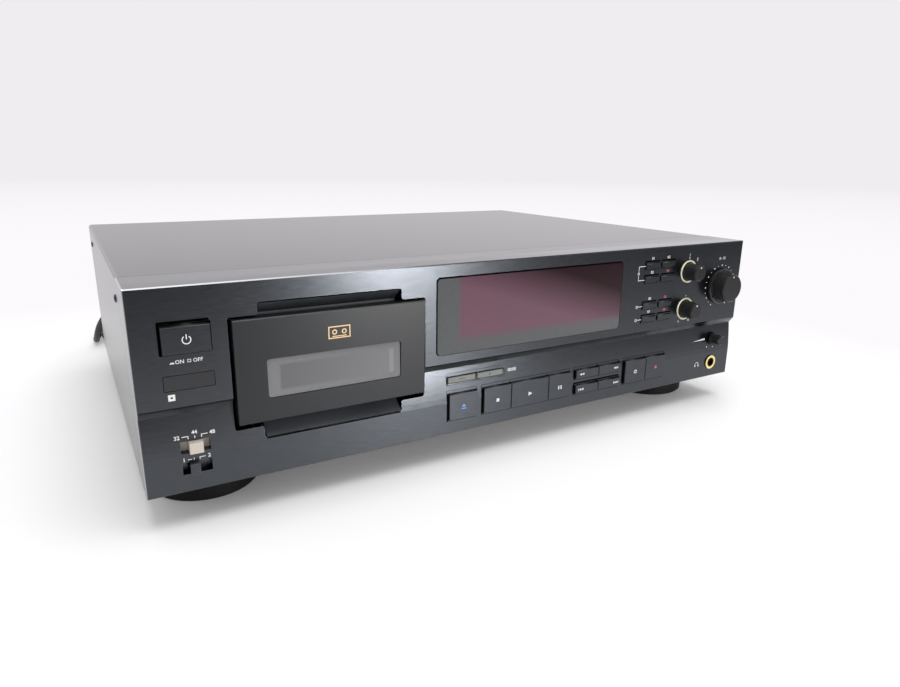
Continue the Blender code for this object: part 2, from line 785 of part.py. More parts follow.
def make_feet(finish):
    top = FOOT_HEIGHT - GAP
    profile = [
        (0, 0),
        (FOOT_RADIUS - FOOT_EDGE, 0),
        (FOOT_RADIUS, FOOT_EDGE),
        (FOOT_RADIUS, FOOT_BAND),
        (FOOT_TOP_RADIUS, top),
        (0, top),
    ]
    first = None
    for end, y in (("front", FRONT + FOOT_END_INSET), ("rear", BACK - FOOT_END_INSET)):
        for side, x in (("left", LEFT + FOOT_SIDE_INSET), ("right", RIGHT - FOOT_SIDE_INSET)):
            name = f"{end}_{side}_foot"
            if first is None:
                first = piece(name, turned(profile, BIG_ROUND), finish, (x, y, 0), smooth=True)
                continue
            foot = bpy.data.objects.new(name, first.data)
            foot.location = (x, y, 0)
            bpy.context.scene.collection.objects.link(foot)


# Windows and the display


def make_windows(filter_finish, remote_finish, tube_finish):
    shape = extrusion(
        rounded(display_corners(GAP), DISPLAY_CORNER - GAP), "Y", FRONT, FRONT + DISPLAY_THICKNESS
    )
    piece("display_window", shape, filter_finish)
    shape = extrusion(
        rounded(remote_corners(GAP), REMOTE_CORNER - GAP, steps=1), "Y", FRONT, FASCIA_BACK
    )
    piece("remote_window", shape, remote_finish)
    rear = CONTROL_BOARD_Y - GAP
    tube = extrusion(display_corners(TUBE_MARGIN), "Y", rear - TUBE_THICKNESS, rear)
    piece("display_tube", tube, tube_finish)


# Keys and slide levers


def make_key(name, corners, surface, reach, clearance, stem_end, finish):
    """A cap in its opening, a flange behind the fascia and a rib that works the switch.

    The key's origin is at the middle of the opening, on the fascia's surface.
    """
    left, low, right, high = corners
    middle = ((left + right) / 2, surface, (low + high) / 2)
    half_width = (right - left) / 2 - clearance
    half_height = (high - low) / 2 - clearance
    flange_front = FASCIA_BACK + GAP - surface
    flange_back = flange_front + KEY_FLANGE
    flange_half = half_height + KEY_FLANGE
    outline = [
        (-reach, -half_height),
        (flange_front, -half_height),
        (flange_front, -flange_half),
        (flange_back, -flange_half),
        (flange_back, -KEY_RIB / 2),
        (stem_end - surface, -KEY_RIB / 2),
        (stem_end - surface, KEY_RIB / 2),
        (flange_back, KEY_RIB / 2),
        (flange_back, flange_half),
        (flange_front, flange_half),
        (flange_front, half_height),
        (-reach, half_height),
    ]

    def front_edge(edge_middle, _):
        return edge_middle.y < -reach + WELD

    shape = extrusion(outline, "X", -half_width, half_width)
    piece(name, softened(shape, KEY_EDGE, front_edge), finish, middle)


def make_keys(key_finish, light_finish, id_finish):
    stem_end = CONTROL_BOARD_Y - KEY_TRAVEL - GAP
    for name, corners in key_layout().items():
        counter = name.startswith("counter")
        surface = FRONT + face_setback((corners[1] + corners[3]) / 2)
        reach = COUNTER_REACH if counter else KEY_REACH
        finish = light_finish if counter else key_finish
        make_key(name, widened(name, corners), surface, reach, KEY_CLEARANCE, stem_end, finish)
    for name, corners in id_key_layout().items():
        make_key(name, corners, FRONT, ID_REACH, KEY_CLEARANCE, stem_end, id_finish)
    power_end = FASCIA_BACK + POWER_STEM
    make_key(
        "power_key", power_corners(), FRONT, POWER_REACH, POWER_CLEARANCE, power_end, key_finish
    )


def widened(name, corners):
    """A key's opening, with half a clearance added at each side where another key stands."""
    left, low, right, high = corners
    half = KEY_CLEARANCE / 2
    if name in KEYS_WITH_LEFT_NEIGHBOUR:
        left -= half
    if name in KEYS_WITH_RIGHT_NEIGHBOUR:
        right += half
    return left, low, right, high


def make_lever(name, rise, width, offset, travel, finish):
    """A slide switch's lever: a knob through the slot, on a plate that closes it."""
    left, low, right, high = slot_corners(rise)
    surface = FRONT + LOWER_SETBACK
    middle_x = (left + right) / 2 + offset
    middle_z = (low + high) / 2
    half_height = (high - low) / 2 - GAP
    knob = rectangle(-width / 2, -half_height, width / 2, half_height)
    shape = extrusion(knob, "Y", -LEVER_REACH, FASCIA_BACK + GAP + LEVER_PLATE / 2 - surface)
    lever = piece(name, shape, finish, (middle_x, surface, middle_z))
    lap = LEVER_PLATE_LAP + 2 * travel
    plate = block(
        (left - lap, FASCIA_BACK + GAP, low - LEVER_PLATE_LAP),
        (right + lap, FASCIA_BACK + GAP + LEVER_PLATE, high + LEVER_PLATE_LAP),
    )
    shaped_by(lever, "UNION", f"{name}_plate", plate)


# Knobs and the headphone socket


def make_knob(name, profile, sides, surface, finish):
    """A turned knob on its shaft; the profile runs from the fascia outwards."""
    x, z = KNOBS[name]
    shaft_end = CONTROL_BOARD_Y - POT_BORE_DEPTH - GAP
    depth = shaft_end - surface
    whole = [(0, -depth), (SHAFT_RADIUS, -depth), (SHAFT_RADIUS, GAP)] + profile
    return piece(name, turned(whole, sides), finish, (x, surface, z), FORWARD, smooth=True)


def make_knobs(finish):
    level = [
        (LEVEL_SKIRT_RADIUS, GAP),
        (LEVEL_SKIRT_RADIUS, LEVEL_SKIRT_HEIGHT),
        (LEVEL_RADIUS, LEVEL_SKIRT_HEIGHT),
        (LEVEL_RADIUS, LEVEL_REACH - KNOB_EDGE),
        (LEVEL_RADIUS - KNOB_EDGE, LEVEL_REACH),
        (0, LEVEL_REACH),
    ]
    make_knob("level_knob", level, BIG_ROUND, FRONT, finish)
    small = [
        (SMALL_BASE_RADIUS, GAP),
        (SMALL_RADIUS, SMALL_REACH - KNOB_EDGE),
        (SMALL_RADIUS - KNOB_EDGE, SMALL_REACH),
        (0, SMALL_REACH),
    ]
    for name in ("input_knob", "balance_knob"):
        make_knob(name, small, ROUND, FRONT, finish)
    phones = [
        (PHONES_BASE_RADIUS, GAP),
        (PHONES_BASE_RADIUS, PHONES_BASE_HEIGHT),
        (PHONES_RADIUS, PHONES_BASE_HEIGHT),
        (PHONES_RADIUS, PHONES_REACH - KNOB_EDGE),
        (PHONES_RADIUS - KNOB_EDGE, PHONES_REACH),
        (0, PHONES_REACH),
    ]
    x, z = KNOBS["phones_knob"]
    surface = FRONT + face_setback(z - PHONES_BASE_RADIUS)
    knob = make_knob("phones_knob", phones, ROUND, surface, finish)
    grip = block(
        (x - PHONES_GRIP_LENGTH / 2, surface - PHONES_REACH, z - PHONES_GRIP_WIDTH / 2),
        (x + PHONES_GRIP_LENGTH / 2, surface - PHONES_BASE_HEIGHT / 2, z + PHONES_GRIP_WIDTH / 2),
    )
    shaped_by(knob, "UNION", "phones_grip", grip)


def make_headphone_socket(finish):
    x, z = SOCKET_PLACE
    surface = FRONT + face_setback(z)
    inner = -(FASCIA_BACK + GAP - surface)
    ring = GAP + SOCKET_RING_HEIGHT
    profile = [
        (0, -SOCKET_LENGTH),
        (SOCKET_BODY_RADIUS, -SOCKET_LENGTH),
        (SOCKET_BODY_RADIUS, inner),
        (SOCKET_NECK_RADIUS, inner),
        (SOCKET_NECK_RADIUS, GAP),
        (SOCKET_RING_RADIUS, GAP),
        (SOCKET_RING_RADIUS, ring),
        (SOCKET_BORE_RADIUS, ring),
        (SOCKET_BORE_RADIUS, -SOCKET_LENGTH + SOCKET_END_WALL),
        (0, -SOCKET_LENGTH + SOCKET_END_WALL),
    ]
    piece("headphone_socket", turned(profile, ROUND), finish, (x, surface, z), FORWARD, smooth=True)


# Tray, door and their window


def door_bounds():
    return (
        TRAY_X - TRAY_OPENING_WIDTH / 2 + DOOR_SIDE_GAP,
        TRAY_Z - TRAY_OPENING_HEIGHT / 2 + DOOR_BOTTOM_GAP,
        TRAY_X + TRAY_OPENING_WIDTH / 2 - DOOR_SIDE_GAP,
        TRAY_Z + TRAY_OPENING_HEIGHT / 2 - DOOR_TOP_GAP,
    )


def door_window_corners(spare=0.0):
    low = door_bounds()[1] + DOOR_WINDOW_RISE
    return rectangle(
        TRAY_X - DOOR_WINDOW_WIDTH / 2 + spare,
        low + spare,
        TRAY_X + DOOR_WINDOW_WIDTH / 2 - spare,
        low + DOOR_WINDOW_HEIGHT - spare,
    )


def door_front(z):
    """The door's front face leans: its upper edge stands further out than its lower one."""
    _, low, _, high = door_bounds()
    share = (z - low) / (high - low)
    return FRONT - DOOR_BOTTOM_REACH - (DOOR_TOP_REACH - DOOR_BOTTOM_REACH) * share


def make_door(finish, pane_finish):
    left, low, right, high = door_bounds()
    back = FRONT - DOOR_BOTTOM_REACH + DOOR_THICKNESS
    outline = [(door_front(low), low), (back, low), (back, high), (door_front(high), high)]

    def front_edge(middle, _):
        return middle.y < door_front(middle.z) + WELD

    shape = softened(extrusion(outline, "X", left, right), DOOR_EDGE, front_edge)
    door = piece("tray_door", shape, finish)
    window_high = door_window_corners()[2][1]
    boss_low = (window_high + high - DOOR_BOSS_HEIGHT) / 2
    boss = block(
        (TRAY_X - DOOR_BOSS_WIDTH / 2, back - OVERRUN, boss_low),
        (TRAY_X + DOOR_BOSS_WIDTH / 2, FRONT + DISH_DEPTH - GAP, boss_low + DOOR_BOSS_HEIGHT),
    )
    shaped_by(door, "UNION", "door_boss", boss)
    front = FRONT - DOOR_TOP_REACH - OVERRUN
    hole = extrusion(
        rounded(door_window_corners(), DOOR_WINDOW_CORNER), "Y", front, back + OVERRUN
    )
    shaped_by(door, "DIFFERENCE", "door_window_hole", hole)
    corners = door_window_corners(GAP)
    pane_front = door_front(corners[0][1]) + DOOR_PANE_SETBACK
    pane = extrusion(
        rounded(corners, DOOR_WINDOW_CORNER - GAP), "Y", pane_front, pane_front + DOOR_PANE_THICKNESS
    )
    piece("door_window", pane, pane_finish)


def rack_outline(inner_x):
    """One arm seen from above, with rack teeth along its inner side."""
    pitch = math.pi * GEAR_MODULE
    pitch_x = inner_x - DEDENDUM_SHARE * GEAR_MODULE
    tip_x = pitch_x - ADDENDUM_SHARE * GEAR_MODULE
    half_tooth = pitch / 4 - BACKLASH / 4
    slope = math.tan(PRESSURE_ANGLE)
    half_tip = half_tooth - (pitch_x - tip_x) * slope
    half_root = half_tooth + (inner_x - pitch_x) * slope
    start = FRONT + GEAR_SETBACK - pitch / 2
    back = inner_x + ARM_WIDTH / 2
    outline = [(back, start - pitch)]
    teeth = math.ceil(TRAY_TRAVEL / pitch) + RACK_SPARE_TEETH
    for tooth in range(teeth):
        middle = start + pitch * tooth
        outline += [
            (inner_x, middle - half_root),
            (tip_x, middle - half_tip),
            (tip_x, middle + half_tip),
            (inner_x, middle + half_root),
        ]
    outline.append((back, start + pitch * teeth))
    return outline


def gear_outline():
    """Involute teeth, the first pointing along +X, where the rack lies."""
    base = PITCH_RADIUS * math.cos(PRESSURE_ANGLE)
    root = PITCH_RADIUS - DEDENDUM_SHARE * GEAR_MODULE
    tip = PITCH_RADIUS + ADDENDUM_SHARE * GEAR_MODULE
    radii = (root, base, PITCH_RADIUS, (PITCH_RADIUS + tip) / 2, tip)

    def roll(radius):
        ratio = max(1.0, radius / base)
        return math.sqrt(ratio**2 - 1) - math.acos(1 / ratio)

    at_pitch = math.pi / (2 * GEAR_TEETH) - BACKLASH / (4 * PITCH_RADIUS)
    halves = [at_pitch + roll(PITCH_RADIUS) - roll(radius) for radius in radii]
    outline = []
    for tooth in range(GEAR_TEETH):
        middle = 2 * math.pi * tooth / GEAR_TEETH
        flank = list(zip(radii, halves))
        for radius, half in [(r, -h) for r, h in flank] + flank[::-1]:
            angle = middle + half
            outline.append((radius * math.cos(angle), radius * math.sin(angle)))
    return outline


def make_tray(finish):
    """The drawer: a dished front, a well for the cassette and two arms with a rack."""
    half_height = TALL_OPENING_HEIGHT / 2 - TRAY_SIDE_GAP
    low = TRAY_Z - half_height
    high = TRAY_Z + half_height
    outline = [
        (FRONT + LIP_SETBACK, low),
        (WELL_FRONT, low),
        (WELL_FRONT, high),
        (FRONT + LIP_SETBACK, high),
        (FRONT + DISH_DEPTH, high - LIP_HEIGHT),
        (FRONT + DISH_DEPTH, low + LIP_HEIGHT),
    ]
    tray = piece(
        "cassette_tray", extrusion(outline, "X", TRAY_X - TRAY_HALF, TRAY_X + TRAY_HALF), finish
    )
    lap = OVERRUN
    wall_top = FLOOR_TOP + CASSETTE_HEIGHT + WELL_RIM
    box_outline = [
        (TRAY_X - TRAY_HALF, WELL_FRONT - lap),
        (TRAY_X + TRAY_HALF, WELL_FRONT - lap),
        (TRAY_X + TRAY_HALF, WELL_BACK + WELL_WALL),
        (TRAY_X - TRAY_HALF, WELL_BACK + WELL_WALL),
    ]
    well = extrusion(box_outline, "Z", FLOOR_TOP - WELL_FLOOR, wall_top)
    shaped_by(tray, "UNION", "tray_well_walls", well)
    inside = block(
        (TRAY_X - WELL_HALF, WELL_FRONT, FLOOR_TOP),
        (TRAY_X + WELL_HALF, WELL_BACK, wall_top + OVERRUN),
    )
    shaped_by(tray, "DIFFERENCE", "tray_well", inside)
    arm_end = WELL_FRONT + ARM_LENGTH
    arms = together(
        block(
            (min(x, x + side * ARM_WIDTH), WELL_FRONT - lap, ARM_BOTTOM),
            (max(x, x + side * ARM_WIDTH), arm_end, FLOOR_TOP),
        )
        for x, side in ((TRAY_X - TRAY_HALF, 1), (TRAY_X + TRAY_HALF, -1))
    )
    shaped_by(tray, "UNION", "tray_arms", arms)
    rack = extrusion(
        rack_outline(TRAY_X + TRAY_HALF - ARM_WIDTH), "Z", ARM_BOTTOM, ARM_BOTTOM + RACK_HEIGHT
    )
    shaped_by(tray, "UNION", "tray_rack", rack)
    openings = [
        block(
            (TRAY_X - SIGHT_WIDTH / 2, FRONT, FLOOR_TOP + SIGHT_SILL),
            (TRAY_X + SIGHT_WIDTH / 2, WELL_FRONT + lap, FLOOR_TOP + SIGHT_SILL + SIGHT_HEIGHT),
        )
    ]
    for side in (-1, 1):
        outline = circle(
            TRAY_X + side * REEL_SPACING / 2, FRONT + REEL_SETBACK, SPINDLE_HOLE_RADIUS, SMALL_ROUND
        )
        openings.append(extrusion(outline, "Z", FLOOR_TOP - WELL_FLOOR - OVERRUN, FLOOR_TOP + lap))
    shaped_by(tray, "DIFFERENCE", "tray_openings", together(openings))


# Tape mechanism


def gear_place():
    rack_x = TRAY_X + TRAY_HALF - ARM_WIDTH - DEDENDUM_SHARE * GEAR_MODULE
    return rack_x - PITCH_RADIUS, FRONT + GEAR_SETBACK


def pinch_angle(distance):
    """The angle at the arm's pivot, between the capstan and a roller this far from it."""
    across = math.hypot(CAPSTAN_OFFSET - PIVOT_OFFSET, CAPSTAN_SETBACK - PIVOT_SETBACK)
    cosine = (across**2 + PINCH_ARM_LENGTH**2 - distance**2) / (2 * across * PINCH_ARM_LENGTH)
    return math.acos(cosine)


def make_mechanism_plate(finish):
    """Two upright walls and the plate between them, with a ledge and rail for each arm."""
    inner = TRAY_HALF + RAIL_GAP
    outer = inner + MECHANISM_WALL
    ledge = ARM_BOTTOM - GAP
    wall_top = FLOOR_TOP + GAP + RAIL_LIP
    foot = BOTTOM + CHASSIS_WALL + GAP
    half = [
        (outer, foot),
        (outer, wall_top),
        (inner, wall_top),
        (inner, ledge),
        (inner - LEDGE_WIDTH, ledge),
        (inner - LEDGE_WIDTH, PLATE_TOP),
    ]
    under = [(inner, PLATE_BOTTOM), (inner, foot)]
    right = [(TRAY_X + x, z) for x, z in under + half]
    left = [(TRAY_X - x, z) for x, z in (under + half)[::-1]]
    front = FRONT + FASCIA_BOTTOM_RETURN + GAP
    end = WELL_FRONT + ARM_LENGTH + MECHANISM_TAIL
    plate = piece("mechanism_plate", extrusion(right + left, "Y", front, end), finish)
    lip_front = WELL_BACK + WELL_WALL + RAIL_LIP
    lips = []
    for side in (-1, 1):
        root = TRAY_X + side * (inner + MECHANISM_WALL / 2)
        edge = TRAY_X + side * (inner - RAIL_LIP_WIDTH)
        low = (min(root, edge), lip_front, FLOOR_TOP + GAP)
        high = (max(root, edge), end - GAP, wall_top - GAP)
        lips.append(block(low, high))
    lips = together(lips)
    shaped_by(plate, "UNION", "rail_lips", lips)
    pins = [gear_place()]
    pins += [(TRAY_X + side * REEL_SPACING / 2, FRONT + REEL_SETBACK) for side in (-1, 1)]
    pins.append((TRAY_X + CAPSTAN_OFFSET, FRONT + CAPSTAN_SETBACK))
    pins.append((TRAY_X + PIVOT_OFFSET, FRONT + PIVOT_SETBACK))
    low = PLATE_BOTTOM - OVERRUN
    high = PLATE_TOP + OVERRUN
    holes = together(
        extrusion(circle(x, y, PIN_RADIUS + GAP, TINY_ROUND), "Z", low, high) for x, y in pins
    )
    shaped_by(plate, "DIFFERENCE", "pin_holes", holes)


def make_reels(finish):
    pin = PLATE_BOTTOM - RUN_Z
    top = ARM_BOTTOM + RACK_HEIGHT - RUN_Z
    profile = [
        (0, pin), (PIN_RADIUS, pin), (PIN_RADIUS, 0), (REEL_RADIUS, 0), (REEL_RADIUS, REEL_DISC),
        (SPINDLE_RADIUS, REEL_DISC), (SPINDLE_RADIUS, top), (0, top),
    ]
    for name, side in (("supply_reel", -1), ("takeup_reel", 1)):
        at = (TRAY_X + side * REEL_SPACING / 2, FRONT + REEL_SETBACK, RUN_Z)
        piece(name, turned(profile, ROUND), finish, at, smooth=True)


def make_loading_gear(finish):
    x, y = gear_place()
    teeth_low = ARM_BOTTOM + GAP - RUN_Z
    gear = extrusion(gear_outline(), "Z", teeth_low, teeth_low + GEAR_HEIGHT)
    made = piece("loading_gear", gear, finish, (x, y, RUN_Z))
    profile = [
        (0, PLATE_BOTTOM),
        (PIN_RADIUS, PLATE_BOTTOM),
        (PIN_RADIUS, RUN_Z),
        (GEAR_HUB_RADIUS, RUN_Z),
        (GEAR_HUB_RADIUS, RUN_Z + teeth_low + GEAR_HEIGHT / 2),
        (0, RUN_Z + teeth_low + GEAR_HEIGHT / 2),
    ]
    shaped_by(made, "UNION", "gear_hub", turned(profile, SMALL_ROUND), (x, y, 0))


def make_drum(base_finish, drum_finish):
    """The lower drum stands tilted on its foot; the upper drum spins on it."""
    x = TRAY_X - DRUM_OFFSET
    y = FRONT + DRUM_SETBACK
    foot = extrusion(circle(0, 0, DRUM_FOOT_RADIUS, ROUND), "Z", 0, DRUM_FOOT_HEIGHT)
    base = piece("drum_base", foot, base_finish, (x, y, RUN_Z), smooth=True)
    tilt = (0, DRUM_TILT, 0)
    lower = extrusion(circle(0, 0, DRUM_RADIUS, ROUND), "Z", DRUM_SINK, LOWER_DRUM_HEIGHT)
    shaped_by(base, "UNION", "lower_drum", lower, (x, y, RUN_Z), tilt)
    start = LOWER_DRUM_HEIGHT + GAP
    end = start + UPPER_DRUM_HEIGHT
    profile = [
        (0, start),
        (DRUM_RADIUS, start),
        (DRUM_RADIUS, end - DRUM_EDGE),
        (DRUM_RADIUS - DRUM_EDGE, end),
        (0, end),
    ]
    piece("head_drum", turned(profile, ROUND), drum_finish, (x, y, RUN_Z), tilt, smooth=True)


def make_capstan(finish):
    """The shaft stands through the plate, on a flywheel below it."""
    wheel_top = PLATE_BOTTOM - GAP
    profile = [
        (0, wheel_top - FLYWHEEL_HEIGHT),
        (FLYWHEEL_RADIUS, wheel_top - FLYWHEEL_HEIGHT),
        (FLYWHEEL_RADIUS, wheel_top),
        (PIN_RADIUS, wheel_top),
        (PIN_RADIUS, PLATE_TOP + CAPSTAN_HEIGHT),
        (0, PLATE_TOP + CAPSTAN_HEIGHT),
    ]
    at = (TRAY_X + CAPSTAN_OFFSET, FRONT + CAPSTAN_SETBACK, 0)
    piece("capstan", turned(profile, ROUND), finish, at, smooth=True)


def make_pinch_roller(arm_finish, roller_finish):
    """The roller rests away from the capstan; its arm swings it in."""
    pivot = Vector((TRAY_X + PIVOT_OFFSET, FRONT + PIVOT_SETBACK))
    capstan = Vector((TRAY_X + CAPSTAN_OFFSET, FRONT + CAPSTAN_SETBACK))
    towards = math.atan2(*(capstan - pivot).yx)
    touching = PIN_RADIUS + ROLLER_RADIUS + GAP
    rest = pinch_angle(touching - GAP + PINCH_OPEN)
    swing = rest - pinch_angle(touching)
    print(f"pinch arm swings {math.degrees(swing):.2f} degrees to the capstan")
    aim = towards - rest
    heading = Vector((math.cos(aim), math.sin(aim)))
    roller = heading * PINCH_ARM_LENGTH
    end = heading * PINCH_ARM_HALF_WIDTH
    side = end.orthogonal()
    outline = [-end - side, roller + end - side, roller + end + side, side - end]
    arm_shape = extrusion([tuple(point) for point in outline], "Z", 0, PINCH_ARM_THICKNESS)
    arm = piece("pinch_arm", arm_shape, arm_finish, (*pivot, RUN_Z))
    roller_low = RUN_Z + PINCH_ARM_THICKNESS + GAP
    pin_low = RUN_Z + PINCH_ARM_THICKNESS / 2
    pins = together(
        [
            extrusion(circle(*pivot, PIN_RADIUS, TINY_ROUND), "Z", PLATE_BOTTOM, pin_low),
            extrusion(
                circle(*(pivot + roller), PIN_RADIUS, TINY_ROUND),
                "Z",
                pin_low,
                roller_low + ROLLER_HEIGHT + GAP,
            ),
        ]
    )
    shaped_by(arm, "UNION", "pinch_pins", pins)
    profile = [
        (PIN_RADIUS + GAP, 0),
        (ROLLER_RADIUS, 0),
        (ROLLER_RADIUS, ROLLER_HEIGHT),
        (PIN_RADIUS + GAP, ROLLER_HEIGHT),
    ]
    at = (*(pivot + roller), roller_low)
    piece("pinch_roller", turned(profile, ROUND, hollow=True), roller_finish, at, smooth=True)


def make_loading_motor(finish):
    x, _ = gear_place()
    start = x - MOTOR_LENGTH - MOTOR_SHAFT_LENGTH
    at = (start, FRONT + MOTOR_SETBACK, PLATE_BOTTOM - GAP - MOTOR_RADIUS)
    profile = [
        (0, 0),
        (MOTOR_RADIUS, 0),
        (MOTOR_RADIUS, MOTOR_LENGTH),
        (MOTOR_SHAFT_RADIUS, MOTOR_LENGTH),
        (MOTOR_SHAFT_RADIUS, MOTOR_LENGTH + MOTOR_SHAFT_LENGTH),
        (0, MOTOR_LENGTH + MOTOR_SHAFT_LENGTH),
    ]
    turn = (0, math.radians(90), 0)
    piece("loading_motor", turned(profile, ROUND), finish, at, turn, smooth=True)


# Boards, transformer and rear sockets


def make_control_board(finish):
    """The board behind the keys, with a potentiometer for each knob."""
    low = (
        LEFT + TRAY_OPENING_INSET + TRAY_OPENING_WIDTH + BOARD_MARGIN,
        CONTROL_BOARD_Y,
        BOTTOM + FASCIA_WALL + BOARD_MARGIN,
    )
    high = (
        RIGHT - FASCIA_WALL - BOARD_MARGIN,
        CONTROL_BOARD_Y + BOARD_THICKNESS,
        TOP - FASCIA_WALL - BOARD_MARGIN,
    )
    board = piece("control_board", block(low, high), finish)
    half = POT_SIZE / 2
    sunk = CONTROL_BOARD_Y + BOARD_THICKNESS / 2
    pots = together(
        block((x - half, FASCIA_BACK + GAP, z - half), (x + half, sunk, z + half))
        for x, z in KNOBS.values()
    )
    shaped_by(board, "UNION", "potentiometers", pots)
    bore_end = CONTROL_BOARD_Y - POT_BORE_DEPTH
    holes = [
        extrusion(circle(x, z, SHAFT_RADIUS + GAP, SMALL_ROUND), "Y", FASCIA_BACK - OVERRUN, bore_end)
        for x, z in KNOBS.values()
    ]
    clear = circle(*SOCKET_PLACE, SOCKET_BODY_RADIUS + GAP, SMALL_ROUND)
    holes.append(extrusion(clear, "Y", CONTROL_BOARD_Y - OVERRUN, high[1] + OVERRUN))
    shaped_by(board, "DIFFERENCE", "board_holes", together(holes))


def make_main_board(finish):
    low, high = main_board_bounds()
    board = piece("main_board", block(low, high), finish)

    def place(share_x, share_y):
        return low[0] + (high[0] - low[0]) * share_x, low[1] + (high[1] - low[1]) * share_y

    root = low[2] + BOARD_THICKNESS / 2
    capacitor_top = high[2] + CAPACITOR_HEIGHT
    parts = [
        extrusion(circle(*place(*shares), CAPACITOR_RADIUS, SMALL_ROUND), "Z", root, capacitor_top)
        for shares in CAPACITOR_SHARES
    ]
    half = CHIP_SIZE / 2
    for shares in CHIP_SHARES:
        x, y = place(*shares)
        parts.append(block((x - half, y - half, root), (x + half, y + half, high[2] + CHIP_HEIGHT)))
    shaped_by(board, "UNION", "board_parts", together(parts))


def make_transformer(finish):
    """A laminated core with its winding standing out in front and behind."""
    low_x = LEFT + TRANSFORMER_SIDE_INSET
    high_y = BACK - TRANSFORMER_REAR_INSET
    low_z = BOTTOM + CHASSIS_WALL + GAP
    core = block(
        (low_x, high_y - TRANSFORMER_DEPTH, low_z),
        (low_x + TRANSFORMER_WIDTH, high_y, low_z + TRANSFORMER_HEIGHT),
    )
    made = piece("power_transformer", core, finish)
    winding = rectangle(
        low_x + WINDING_MARGIN,
        low_z + WINDING_MARGIN,
        low_x + TRANSFORMER_WIDTH - WINDING_MARGIN,
        low_z + TRANSFORMER_HEIGHT - WINDING_MARGIN,
    )
    bulged = extrusion(
        rounded(winding, WINDING_MARGIN / 2),
        "Y",
        high_y - TRANSFORMER_DEPTH - WINDING_BULGE,
        high_y + WINDING_BULGE,
    )
    shaped_by(made, "UNION", "transformer_winding", bulged)


def make_rear_sockets(finish):
    """Round sockets on one block, standing through the rear panel."""
    places = jack_places()
    front = BACK - PANEL_WALL - GAP - JACK_BLOCK_DEPTH
    rear = BACK - PANEL_WALL - GAP
    xs = [x for x, _ in places]
    zs = [z for _, z in places]
    margin = JACK_BLOCK_MARGIN
    low = (min(xs) - margin, front, min(zs) - margin)
    high = (max(xs) + margin, rear, max(zs) + margin)
    sockets = piece("rear_sockets", block(low, high), finish)
    barrels = together(
        extrusion(circle(x, z, JACK_RADIUS, TINY_ROUND), "Y", rear - OVERRUN, BACK + JACK_REACH)
        for x, z in places
    )
    shaped_by(sockets, "UNION", "jack_barrels", barrels)
    bores = together(
        extrusion(
            circle(x, z, JACK_BORE_RADIUS, TINY_ROUND),
            "Y",
            BACK + JACK_REACH - JACK_BORE_DEPTH,
            BACK + JACK_REACH + OVERRUN,
        )
        for x, z in places
    )
    shaped_by(sockets, "DIFFERENCE", "jack_bores", bores)


# Mains lead: gland, cord, coil and plug


def coil_middle():
    return Vector((LEFT + COIL_INSET, BACK + COIL_SETBACK, CORD_DIAMETER / 2 + GAP))


def coil_turns():
    """The coil's centre line: a spiral in, a climb of one layer, and a spiral out.

    It starts at the left, heading away from the deck, and ends at the back, heading right.
    """
    middle = coil_middle()
    reverse = COIL_TURNS / 2
    count = round(COIL_TURNS * COIL_POINTS_PER_TURN)
    points = []
    for step in range(count + 1):
        turn = COIL_TURNS * step / count
        radius = COIL_OUTER_RADIUS - COIL_PITCH * (reverse - abs(turn - reverse))
        share = (turn - reverse) / COIL_CLIMB_TURNS + 0.5
        share = min(1.0, max(0.0, share))
        climb = COIL_PITCH * share * share * (3 - 2 * share)
        angle = math.pi - 2 * math.pi * turn
        points.append(middle + Vector((radius * math.cos(angle), radius * math.sin(angle), climb)))
    return points


def coil_line():
    """The turns with a straight run of one diameter at each end."""
    turns = coil_turns()
    start = (turns[0] - turns[1]).normalized() * CORD_DIAMETER
    end = (turns[-1] - turns[-2]).normalized() * CORD_DIAMETER
    start.z = 0
    end.z = 0
    return [turns[0] + start] + turns + [turns[-1] + end]


def cord_route():
    """The lead's points, from the gland's end down to the coil's start.

    Each end is straight for one diameter, square to the face that it meets.
    """
    x, z = GLAND_PLACE
    line = coil_line()
    heading = (line[0] - line[1]).normalized()
    start = Vector((x, BACK + 2 * GAP + GLAND_LENGTH, z))
    end = line[0] + heading * GAP
    leave = start + Vector((0, CORD_DIAMETER, 0))
    arrive = end + heading * CORD_DIAMETER
    way = arrive - leave
    chosen = [leave + way * Vector(shares) for shares in ROUTE_SHARES]
    return [start] + smooth_line([leave] + chosen + [arrive], CORD_STEP) + [end]


def smooth_line(points, spacing):
    """Points along one smooth curve through the given ones, evenly spaced."""
    dense = []
    for k in range(len(points) - 1):
        before = points[max(k - 1, 0)]
        after = points[min(k + 2, len(points) - 1)]
        reach = (points[k + 1] - points[k]).length / 3
        leave = (points[k + 1] - before).normalized() * reach
        arrive = (after - points[k]).normalized() * reach
        handles = (points[k] + leave, points[k + 1] - arrive)
        dense += interpolate_bezier(points[k], *handles, points[k + 1], CURVE_STEPS)[:-1]
    dense.append(points[-1])
    run = np.concatenate([[0.0], np.cumsum([(b - a).length for a, b in zip(dense, dense[1:])])])
    count = max(2, round(float(run[-1]) / spacing) + 1)
    wanted = np.linspace(0, run[-1], count)
    places = np.array([tuple(point) for point in dense])
    return [Vector([np.interp(w, run, places[:, axis]) for axis in range(3)]) for w in wanted]


def make_tube(name, points, resolution, finish):
    curve = bpy.data.curves.new(name, "CURVE")
    curve.dimensions = "3D"
    curve.bevel_depth = CORD_DIAMETER / 2
    curve.bevel_resolution = resolution
    curve.use_fill_caps = True
    spline = curve.splines.new("POLY")
    spline.points.add(len(points) - 1)
    for held, point in zip(spline.points, points):
        held.co = (*point, 1)
    curve.materials.append(finish)
    bpy.context.scene.collection.objects.link(bpy.data.objects.new(name, curve))


